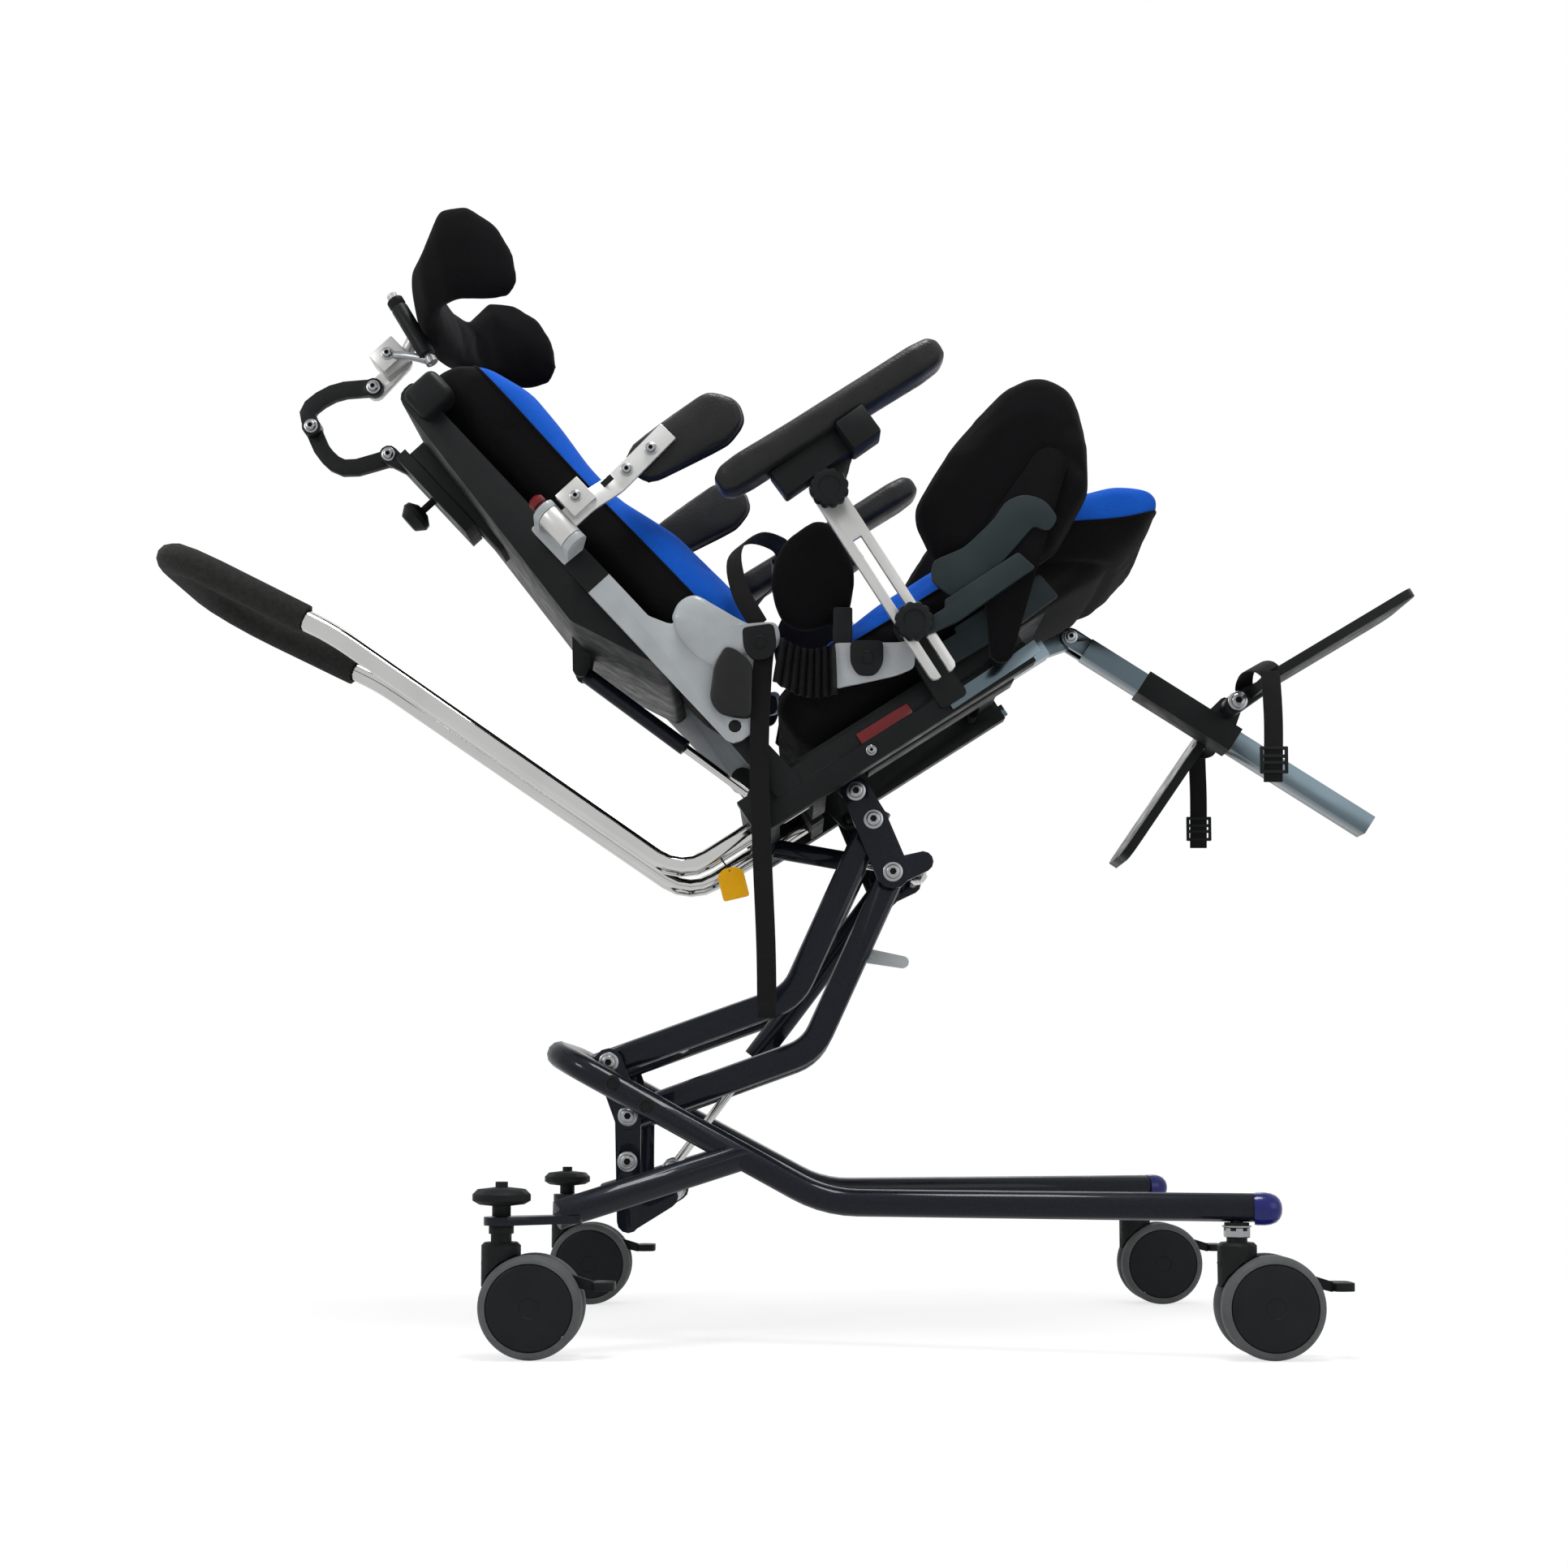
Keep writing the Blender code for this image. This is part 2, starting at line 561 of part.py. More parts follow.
def seat_frame(parent):
    inner = FRAME_HALF - RAIL_W
    step = 0.004
    section = [(-RAIL_W / 2, RAIL_LOW), (RAIL_W / 2, RAIL_LOW), (RAIL_W / 2, RAIL_LOW + 0.022),
               (RAIL_W / 2 - step, RAIL_LOW + 0.025), (RAIL_W / 2 - step, RAIL_TOP), (-RAIL_W / 2, RAIL_TOP)]
    middle = FRAME_HALF - RAIL_W / 2

    def rail(side):
        return loft([[(x, side * (middle + a), z) for a, z in section] for x in (RAIL_REAR, RAIL_FRONT)])

    frame = solid("seat_frame", rail(1), "frame_lacquer")
    pan_low = RAIL_TOP - 0.002
    weld(frame, block((0.0, -inner - 0.008, pan_low), (PAN_FRONT, inner + 0.008, pan_low + PAN_T)), rail(-1))
    beams = ((RAIL_REAR + 0.003, RAIL_REAR + 0.026), (0.028, 0.044))
    weld(frame, *[block((a, -inner - 0.006, BEAM_LOW), (b, inner + 0.006, pan_low + 0.004))
                  for a, b in beams])
    head = to_seat(TILT_SEAT)
    spring_bay = EAR_GAP + EAR_T
    bore(frame, *[block((a - 0.01, -spring_bay - 0.006, BEAM_LOW - 0.01),
                        (b + 0.01, spring_bay + 0.006, pan_low - 0.010)) for a, b in beams])
    ears = belt([(*head, 0.009), (head[0] + 0.002, pan_low - 0.004, 0.010)])
    weld(frame, *pair(ears, EAR_GAP + 0.003, EAR_GAP + 0.003 + EAR_T), across(head, 0.005, EAR_GAP + 0.004))
    tilt = to_seat(TILT_PIVOT)
    lug_out = PLATE_IN - RUN_GAP
    lug = belt([(*tilt, 0.0135), (tilt[0] - 0.004, pan_low - 0.011, 0.016)])
    box = (LEG_W / 2 + 0.005, LEG_SLIDE_D / 2 + 0.004)
    weld(frame, *pair(lug, lug_out - 0.009, lug_out),
         block((0.110, -box[0], LEG_SLIDE_W - box[1]), (RAIL_FRONT, box[0], pan_low + 0.003)),
         block((RAIL_FRONT - 0.03, -inner - 0.006, LEG_SLIDE_W - 0.006),
               (RAIL_FRONT - 0.008, inner + 0.006, pan_low + 0.004)))
    bore(frame, across(tilt, PIVOT_R + RUN_GAP, 0.12))
    hole = (LEG_W / 2 + RUN_GAP, LEG_SLIDE_D / 2 + RUN_GAP)
    bore(frame, block((0.05, -hole[0], LEG_SLIDE_W - hole[1]), (0.5, hole[0], LEG_SLIDE_W + hole[1])))
    for side in (-1, 1):
        y = side * PUSH_HALF
        bore(frame, rod((-0.1, y, PUSH_W), (0.055, y, PUSH_W), PUSH_R + RUN_GAP, 14))
        recline = belt([(0, 0, 0.014), (0.012, RAIL_TOP - 0.012, 0.016)])
        weld(frame, plate(recline, *sorted((side * (FRAME_HALF - 0.007), side * (FRAME_HALF - 0.001)))))
        weld(frame, rod((0, side * (FRAME_HALF - 0.004), 0), (0, side * (FRAME_HALF + 0.0075), 0), RECLINE_R))
        seat_face = POST_Y - POST_T / 2 - GAP
        stand = fillet([(POST_X - 0.016, -0.10), (POST_X + 0.016, -0.10), (POST_X + 0.014, CLAMP_W + 0.016),
                        (POST_X - 0.014, CLAMP_W + 0.016)], 0.005, 2)
        weld(frame, plate(stand, *sorted((side * (FRAME_HALF - 0.001), side * (FRAME_HALF + 0.007)))))
        weld(frame, rod((POST_X, side * (FRAME_HALF + 0.002), CLAMP_W),
                        (POST_X, side * seat_face, CLAMP_W), 0.011))
        bore(frame, rod((POST_X, side * (FRAME_HALF + 0.010), CLAMP_W),
                        (POST_X, side * 0.25, CLAMP_W), STUD_R + GAP, 10),
             rod((SLIDER[0], side * 0.08, SLIDER[1]),
                 (SLIDER[0], side * 0.25, SLIDER[1]), SLIDER_R + RUN_GAP, 10))
    strut = belt([(*STRUT_SEAT, 0.008), (0.004, pan_low + 0.002, 0.009)])
    weld(frame, *pair(strut, EAR_GAP, EAR_GAP + EAR_T), across(STRUT_SEAT, 0.004, EAR_GAP + EAR_T, 10))
    frame.parent = parent


def puff_ring(x, low, high, half, power, count=18):
    """Rounded cushion section across the chair, tighter at the edges than an ellipse."""
    middle, rise = (low + high) / 2, (high - low) / 2
    points = []
    for i in range(count):
        a = 2 * math.pi * (i + 0.5) / count
        c, s = math.cos(a), math.sin(a)
        points.append((x, half * math.copysign(abs(c) ** power, c),
                       middle + rise * math.copysign(abs(s) ** power, s)))
    return points


def seat_cushion(parent):
    under = RAIL_TOP - 0.002 + PAN_T + GAP
    nose = PAN_FRONT + 0.02
    stations = [(0.040, under + 0.012, 0.000, 0.90), (0.052, under, 0.012, 0.97), (0.110, under, 0.030, 1.0),
                (0.200, under, 0.040, 0.97), (0.300, under, 0.041, 0.96), (nose, under, 0.038, 0.98),
                (0.430, under - 0.006, 0.030, 1.0), (0.480, under - 0.002, 0.014, 0.99),
                (0.506, under + 0.012, -0.006, 0.95), (0.515, under + 0.020, -0.018, 0.88)]
    rings = [puff_ring(x, low, high, CUSHION_HALF * wide, 0.42) for x, low, high, wide in stations]
    solid("seat_cushion", loft(rings), "black_fabric", parent, 60)


def pillow(outline, low, high, edge=0.86):
    """Outline (x, z) swollen between two lateral faces."""
    cx = sum(p[0] for p in outline) / len(outline)
    cz = sum(p[1] for p in outline) / len(outline)
    rings = []
    for f, scale in ((0.0, edge), (0.16, 0.965), (0.5, 1.0), (0.84, 0.965), (1.0, edge)):
        y = low + (high - low) * f
        rings.append([(cx + (p[0] - cx) * scale, y, cz + (p[1] - cz) * scale) for p in outline])
    return loft(rings)


THIGH_IN = FRAME_HALF + 0.003
THIGH_T = 0.036
THIGH_SHAPE = [(0.256, 0.030), (0.266, 0.088), (0.333, 0.121), (0.421, 0.146), (0.461, 0.141), (0.482, 0.106),
               (0.462, 0.048), (0.437, 0.004), (0.372, -0.033), (0.294, -0.030)]


def thigh_pads(parent):
    outline = [tuple(p) for p in fillet(THIGH_SHAPE, 0.03, 2)]
    inner = FRAME_HALF - RAIL_W
    for hand, side in (("right", -1), ("left", 1)):
        low, high = sorted((side * THIGH_IN, side * (THIGH_IN + THIGH_T)))
        pad = solid(f"{hand}_thigh_pad", pillow(outline, low, high), "black_fabric")
        cover = belt([(*SLIDER, 0.012), (0.330, 0.005, 0.026), (0.410, 0.048, 0.018)])
        y = THIGH_IN + THIGH_T
        weld(pad, plate(cover, *sorted((side * (y - 0.004), side * (y + 0.006)))),
             rod((SLIDER[0], side * (y + 0.003), SLIDER[1]),
                 (SLIDER[0], side * (inner - 0.03), SLIDER[1]), SLIDER_R, 10))
        pad.parent = parent


# Armrests

SLOT_W = 0.010
POST_LOW = -0.076
POST_TOP = HINGE_W + 0.007
ARM_PAD_X = 0.245                # middle of the pad over the seat
ARM_PAD_Y = POST_Y + 0.016
ARM_PAD_W = 0.050


def knob(name, spot, seat_y, side, stud, parent):
    """Lobed hand knob with a stud towards the middle."""
    outline = []
    steps = 3 * KNOB_LOBES
    for i in range(steps):
        a = 2 * math.pi * i / steps
        r = KNOB_R - LOBE_DEPTH + LOBE_DEPTH * math.cos(KNOB_LOBES * a)
        outline.append((spot[0] + r * math.cos(a), spot[1] + r * math.sin(a)))
    faces = sorted((side * (seat_y + GAP), side * (seat_y + 0.018)))
    body = solid(name, plate(outline, *faces), "dark_plastic")
    weld(body, rod((spot[0], side * (seat_y + 0.009), spot[1]),
                   (spot[0], side * (seat_y - stud), spot[1]), STUD_R, 10))
    body.parent = parent


def armrests(parent):
    for hand, side in (("right", -1), ("left", 1)):
        low, high = sorted((side * (POST_Y - POST_T / 2), side * (POST_Y + POST_T / 2)))
        shape = fillet([(POST_X - POST_W / 2, POST_LOW), (POST_X + POST_W / 2, POST_LOW),
                        (POST_X + POST_W / 2, POST_TOP + 0.012),
                        (POST_X - POST_W / 2, POST_TOP + 0.012)], 0.006, 2)
        post = solid(f"{hand}_armrest_post", plate(shape, low, high), "aluminium")
        bore(post, block((POST_X - SLOT_W / 2, -0.3, POST_LOW - 0.01), (POST_X + SLOT_W / 2, 0.3, 0.090)),
             rod((POST_X, -0.3, HINGE_W), (POST_X, 0.3, HINGE_W), STUD_R + RUN_GAP, 10))
        post.parent = parent
        face = POST_Y + POST_T / 2
        knob(f"{hand}_lower_knob", (POST_X, CLAMP_W), face, side, 0.018, parent)
        bracket_t = 0.008
        ends = sorted((side * (face + GAP), side * (face + GAP + bracket_t)))
        bracket = belt([(POST_X, HINGE_W, 0.014), (ARM_PAD_X + 0.02, PAD_Z - PAD_THICK * 0.32, 0.012)])
        rings = []
        half = PAD_LEN / 2
        for x, shrink in ((-half, 0.55), (-half + 0.010, 0.9), (-half + 0.03, 1), (-0.04, 0.96), (0.06, 0.98),
                          (half - 0.03, 1), (half - 0.010, 0.9), (half, 0.55)):
            rise = PAD_THICK / 2 * shrink
            section = puff_ring(ARM_PAD_X + x, PAD_Z - rise, PAD_Z + rise, ARM_PAD_W / 2 * shrink, 0.55, 12)
            rings.append([(a, b + side * ARM_PAD_Y, c) for a, b, c in section])
        pad = solid(f"{hand}_armrest_pad", loft(rings), "black_vinyl")
        weld(pad, plate(bracket, *ends))
        bore(pad, rod((POST_X, -0.3, HINGE_W), (POST_X, 0.3, HINGE_W), STUD_R + RUN_GAP, 10))
        pad.parent = parent
        knob(f"{hand}_upper_knob", (POST_X, HINGE_W), face + GAP + bracket_t, side, 0.019, parent)


# Back, local frame at the recline pivot: x forward out of the back, z up along it

SHELL_FRONT = 0.004
SHELL_LOW = 0.100
SHELL_TOP = 0.500
PLATE_Y = FRAME_HALF + 0.0015    # inner face of the side rails
SHELL_GAP = 0.0075               # shell side to side rail
SHELL_HALF = PLATE_Y - SHELL_GAP
SIDE_T = 0.006
STRUT_HEAD = (-0.064, 0.188)     # recline spring on the shell
GUIDE_X = -0.040                 # rear face of the headrest guide
GUIDE_HALF = 0.022
LATERAL_V = 0.268                # middle of the lateral hinges
LATERAL_Y = PLATE_Y + SIDE_T + 0.0245
LATERAL_BAR_Y = LATERAL_Y - 0.0252
LATERAL_X = 0.006
KNUCKLE = 0.034                  # height of the swing arm knuckle
KNUCKLE_R = 0.013
CHEEK_T = 0.008
BUTTON_R = 0.009
BUTTON_TRAVEL = 0.004


def back_shell(parent):
    outline = fillet([(SHELL_FRONT, SHELL_LOW), (SHELL_FRONT, SHELL_TOP),
                      (-0.020, SHELL_TOP), (-0.048, 0.200),
                      (-0.012, SHELL_LOW)], [0.004, 0.006, 0.014, 0.02, 0.008], 3)
    shell = solid("back_shell", plate(outline, -SHELL_HALF, SHELL_HALF), "dark_plastic")
    guide = block((GUIDE_X, -GUIDE_HALF, 0.345), (-0.010, GUIDE_HALF, SHELL_TOP - 0.006))
    ears = belt([(*STRUT_HEAD, 0.009), (-0.036, 0.215, 0.012)])
    weld(shell, guide, *pair(ears, EAR_GAP + 0.003, EAR_GAP + 0.003 + EAR_T),
         across(STRUT_HEAD, 0.004, EAR_GAP + 0.004, 10))
    for side in (-1, 1):
        for v in (0.150, 0.235):
            weld(shell, rod((-0.005, side * (SHELL_HALF - 0.01), v),
                            (-0.005, side * (PLATE_Y - GAP), v), 0.007, 10))
    shell.parent = parent


def back_cushion(parent):
    rear = SHELL_FRONT + GAP
    crown = [(0.036, 0.055, 0.86), (0.044, 0.088, 0.95), (0.075, 0.107, 0.99), (0.132, 0.105, 1.0),
             (0.200, 0.102, 0.99), (0.235, 0.094, 0.97), (0.270, 0.085, 0.955), (0.320, 0.085, 0.95),
             (0.370, 0.091, 0.97), (0.423, 0.094, 0.99),
             (0.468, 0.083, 0.98), (0.494, 0.060, 0.93), (0.504, 0.036, 0.84)]
    rings = []
    for v, front, wide in crown:
        ring_points = puff_ring(v, rear, front, CUSHION_HALF * wide, 0.42)
        rings.append([(z, y, x) for x, y, z in ring_points])
    solid("back_cushion", loft(rings), "black_fabric", parent, 60)


def side_rails(parent):
    shape = fillet([(-0.016, -0.014), (0.016, -0.018), (0.056, 0.026), (0.079, 0.076), (0.066, 0.114),
                    (0.024, 0.122),
                    (0.013, 0.145), (0.013, LATERAL_V + 0.020), (-0.016, LATERAL_V + 0.020)],
                   [0.012, 0.012, 0.03, 0.02, 0.016, 0.01, 0.01, 0.004, 0.004], 2)
    for hand, side in (("right", -1), ("left", 1)):
        faces = sorted((side * PLATE_Y, side * (PLATE_Y + SIDE_T)))
        rail = solid(f"{hand}_side_rail", plate(shape, *faces), "silver_plastic")
        half = KNUCKLE / 2 + RUN_GAP
        mount = fillet([(-0.015, LATERAL_V - half - CHEEK_T), (0.012, LATERAL_V - half - CHEEK_T),
                        (0.012, LATERAL_V + half + CHEEK_T), (-0.015, LATERAL_V + half + CHEEK_T)], 0.003, 2)
        weld(rail, plate(mount, *sorted((side * (PLATE_Y + 0.0006), side * (PLATE_Y + SIDE_T + 0.004)))))
        for low, high in ((-half - CHEEK_T, -half), (half, half + CHEEK_T)):
            cheek = belt([(LATERAL_X, side * LATERAL_Y, KNUCKLE_R),
                          (0.000, side * (PLATE_Y + SIDE_T + 0.001), 0.010)], 14)
            weld(rail, slab(cheek, LATERAL_V + low, LATERAL_V + high))
        pin = (LATERAL_X, side * LATERAL_Y)
        weld(rail, rod((*pin, LATERAL_V - half - 0.002), (*pin, LATERAL_V + half - 0.006), 0.004, 10))
        bore(rail, rod((0, side * 0.1, 0), (0, side * 0.2, 0), RECLINE_R + RUN_GAP),
             rod((*pin, LATERAL_V + half - 0.001), (*pin, LATERAL_V + half + 0.03), 0.005 + GAP, 10))
        rail.parent = parent


def laterals(parent):
    for hand, side in (("right", -1), ("left", 1)):
        pin = (LATERAL_X, side * LATERAL_Y)
        low, high = LATERAL_V - KNUCKLE / 2, LATERAL_V + KNUCKLE / 2
        knuckle = turned([(KNUCKLE_R, low), (KNUCKLE_R, high)], (*pin, 0), "Z", 16)
        arm = solid(f"{hand}_lateral_arm", knuckle, "aluminium")
        bar_y = LATERAL_BAR_Y
        path = [(LATERAL_X, side * LATERAL_Y, LATERAL_V), (0.045, side * LATERAL_Y, LATERAL_V),
                (0.082, side * bar_y, LATERAL_V + 0.002), (0.160, side * bar_y, LATERAL_V + 0.006)]
        weld(arm, sweep(fillet(path, 0.02, 2, closed=False),
                        [(-0.0021, -0.011), (0.0021, -0.011), (0.0021, 0.011),
                                                              (-0.0021, 0.011)], (0, 0, 1)))
        bore(arm, rod((*pin, low - 0.01), (*pin, high + 0.01), 0.004 + RUN_GAP, 10))
        arm.parent = parent
        outline = [tuple(p) for p in fillet([(0.104, 0.250), (0.200, 0.223), (0.232, 0.228), (0.242, 0.255),
                                             (0.224, 0.285), (0.104, 0.298)], 0.02, 2)]
        faces = sorted((side * (bar_y - 0.0024 - 0.028), side * (bar_y - 0.0024)))
        solid(f"{hand}_lateral_pad", pillow(outline, *faces), "black_vinyl", parent, 60)
        top = LATERAL_V + KNUCKLE / 2 + RUN_GAP + CHEEK_T
        button = [(0.005, top - 0.004), (0.005, top + BUTTON_TRAVEL + GAP),
                  (BUTTON_R, top + BUTTON_TRAVEL + GAP),
                  (BUTTON_R, top + 0.011), (BUTTON_R - 0.003, top + 0.014)]
        solid(f"{hand}_release_button", turned(button, (*pin, 0), "Z", 14), "red_plastic", parent)


# Headrest, placed in the back's frame

HEAD_ROOT = (-0.0557, 0.5174)
HEAD_ELBOW = (-0.0976, 0.6007)
HEAD_TIP = (-0.0163, 0.5860)
LINK_T = 0.008
LINK_D = 0.018
STAR_V = 0.445
HEAD_PIN_R = 0.004
HEAD_PLACE = (0.1142, 0.5797)    # middle of the head pad
HEAD_TILT = -33.0
HEAD_BACK = 0.045                # middle of the pad to its rear face
HEAD_SEAT = 0.0065               # pad's rear face to the end of its mount


def link(path, low, high):
    """Curved flat link through side-view points."""
    middle = (low + high) / 2
    t = (high - low) / 2
    curve = [(p[0], middle, p[1]) for p in smooth([(a, b, 0) for a, b in path], 9)]
    return sweep(curve, [(-LINK_D / 2, -t), (LINK_D / 2, -t), (LINK_D / 2, t), (-LINK_D / 2, t)], (0, 1, 0))


def head_pin(spot, low, high):
    return rod((spot[0], low, spot[1]), (spot[0], high, spot[1]), HEAD_PIN_R, 10)


def eye(spot, low, high):
    return turned([(0.0105, low), (0.0105, high)], (spot[0], 0, spot[1]), "Y", 14)


def headrest(parent):
    half = LINK_T / 2
    face = GUIDE_X - GAP
    bracket = solid("headrest_bracket", block((face - 0.014, -0.027, 0.385), (face, 0.027, 0.500)),
                    "dark_plastic")
    neck = belt([(*HEAD_ROOT, 0.0105), (face - 0.009, 0.485, 0.005)])
    weld(bracket, plate(neck, -half, half), head_pin(HEAD_ROOT, -half, 3 * half + 0.002))
    bore(bracket, rod((-0.1, 0, STAR_V), (face - 0.004, 0, STAR_V), STUD_R + GAP, 10))
    bracket.parent = parent
    star = solid("star_knob", turned([(0.008, face - 0.030), (0.017, face - 0.036), (0.018, face - 0.042),
                                      (0.011, face - 0.052)], (0, 0, STAR_V), "X", 15), "dark_plastic")
    weld(star, rod((face - 0.034, 0, STAR_V), (face - 0.006, 0, STAR_V), STUD_R, 10))
    star.parent = parent
    low, high = half + GAP, 3 * half
    curve = [HEAD_ROOT, (-0.099, 0.541), (-0.107, 0.570), HEAD_ELBOW]
    lower = solid("headrest_lower_link", link(curve, low, high), "dark_plastic")
    weld(lower, eye(HEAD_ROOT, low, high + 0.0004), eye(HEAD_ELBOW, low, high + 0.0004),
         head_pin(HEAD_ELBOW, -half, high))
    bore(lower, across(HEAD_ROOT, HEAD_PIN_R + GAP, 0.1, 10))
    lower.parent = parent
    curve = [HEAD_ELBOW, (-0.086, 0.617), (-0.050, 0.611), HEAD_TIP]
    upper = solid("headrest_upper_link", link(curve, -half, half), "dark_plastic")
    weld(upper, eye(HEAD_ELBOW, -half - 0.0004, half), eye(HEAD_TIP, -half - 0.0004, half),
         head_pin(HEAD_TIP, half - 0.002, 3 * half + 0.002))
    bore(upper, across(HEAD_ELBOW, HEAD_PIN_R + GAP, 0.1, 10))
    upper.parent = parent
    head = axes("head_axes", (HEAD_PLACE[0], 0, HEAD_PLACE[1]), HEAD_TILT, parent)
    lean = math.radians(HEAD_TILT)
    mount_end = (HEAD_PLACE[0] - HEAD_BACK * math.cos(lean) - HEAD_SEAT,
                 HEAD_PLACE[1] - HEAD_BACK * math.sin(lean))
    ear = belt([(*HEAD_TIP, 0.0105), (0.030, 0.588, 0.009)])
    mount = solid("head_mount", plate(ear, half + GAP, 3 * half), "aluminium")
    weld(mount, rod((0.022, 2 * half, 0.588), (mount_end[0], 0, mount_end[1]), 0.0075))
    bore(mount, across(HEAD_TIP, HEAD_PIN_R + GAP, 0.1, 10))
    mount.parent = parent
    wrap = [(0.090, 0.110, -0.014, 0.020, 0.008), (0.078, 0.116, -0.006, 0.044, 0.012),
            (0.050, 0.121, 0.006, 0.058, 0.014), (0.020, 0.114, 0.012, 0.056, 0.015),
            (-0.006, 0.092, 0.000, 0.036, 0.016), (-0.022, 0.056, 0.000, 0.040, 0.017),
            (-0.027, 0.020, 0.000, 0.046, 0.018)]
    stations = [(x, -y, *more) for x, y, *more in wrap] + [(x, y, *more) for x, y, *more in reversed(wrap)]
    rings = []
    for i, (x, y, rise, tall, thick) in enumerate(stations):
        before = stations[max(i - 1, 0)]
        after = stations[min(i + 1, len(stations) - 1)]
        run = Vector((after[0] - before[0], after[1] - before[1], 0)).normalized()
        out = Vector((run.y, -run.x, 0))
        points = []
        for k in range(12):
            a = 2 * math.pi * (k + 0.5) / 12
            c, s = math.cos(a), math.sin(a)
            points.append(Vector((x, y, 0)) + out * (thick * math.copysign(abs(c) ** 0.7, c))
                          + Vector((0, 0, rise + tall * math.copysign(abs(s) ** 0.8, s))))
        rings.append(points)
    solid("head_pad", loft(rings), "black_fabric", head, 60)


# Push handle, in the seat's frame

PUSH_TIP = (-0.4095, 0.125, 0.4993)
PUSH_KNEE = (-0.300, 0.112, 0.318)
PUSH_BEND = (-0.128, PUSH_HALF, PUSH_W)
PUSH_INSERT = 0.044
GRIP_START = 0.035                # from the knee to the foam


def push_handle(parent):
    half = [(PUSH_INSERT, -PUSH_HALF, PUSH_W)] + [(x, -y, z) for x, y, z in (PUSH_BEND, PUSH_KNEE, PUSH_TIP)]
    path = half + [(x, -y, z) for x, y, z in reversed(half)]
    bends = [0, 0.05, 0.3, 0.07, 0.07, 0.3, 0.05, 0]
    route = fillet(path, bends, 4, closed=False)
    solid("push_tube", sweep(route, ring(PUSH_R, 10)), "chrome", parent)
    knee = Vector((PUSH_KNEE[0], -PUSH_KNEE[1], PUSH_KNEE[2]))
    tip = Vector((PUSH_TIP[0], -PUSH_TIP[1], PUSH_TIP[2]))
    from_knee = (tip - knee).normalized()
    start_at = knee + from_knee * GRIP_START
    grip_half = [start_at, tip]
    grip_path = [tuple(p) for p in grip_half] + [(p[0], -p[1], p[2]) for p in reversed(grip_half)]
    grip = solid("push_grip", sweep(fillet(grip_path, 0.07, 4, closed=False), ring(GRIP_R, 12)), "foam")
    longer = [tuple(start_at - from_knee * 0.02)] + grip_path[1:-1]
    longer.append((longer[0][0], -longer[0][1], longer[0][2]))
    sides = 12
    sleeve_r = (PUSH_R + GAP) / math.cos(math.pi / sides)
    bore(grip, sweep(fillet(longer, 0.07, 4, closed=False), ring(sleeve_r, sides)))
    grip.parent = parent


# Leg rest, extension in the seat's frame, the rest in the leg's own frame

KNUCKLE_T = 0.012
CLAMP_X = 0.190                  # foot plate hinge along the rail
CLAMP_Z = 0.024
SLEEVE_T = 0.003
FOOT_PIN_R = 0.005
FOOT_SIDES = (("right", -1, 63.7, 0.203), ("left", 1, -91.7, 0.190))
PLATE_LEN = 0.185


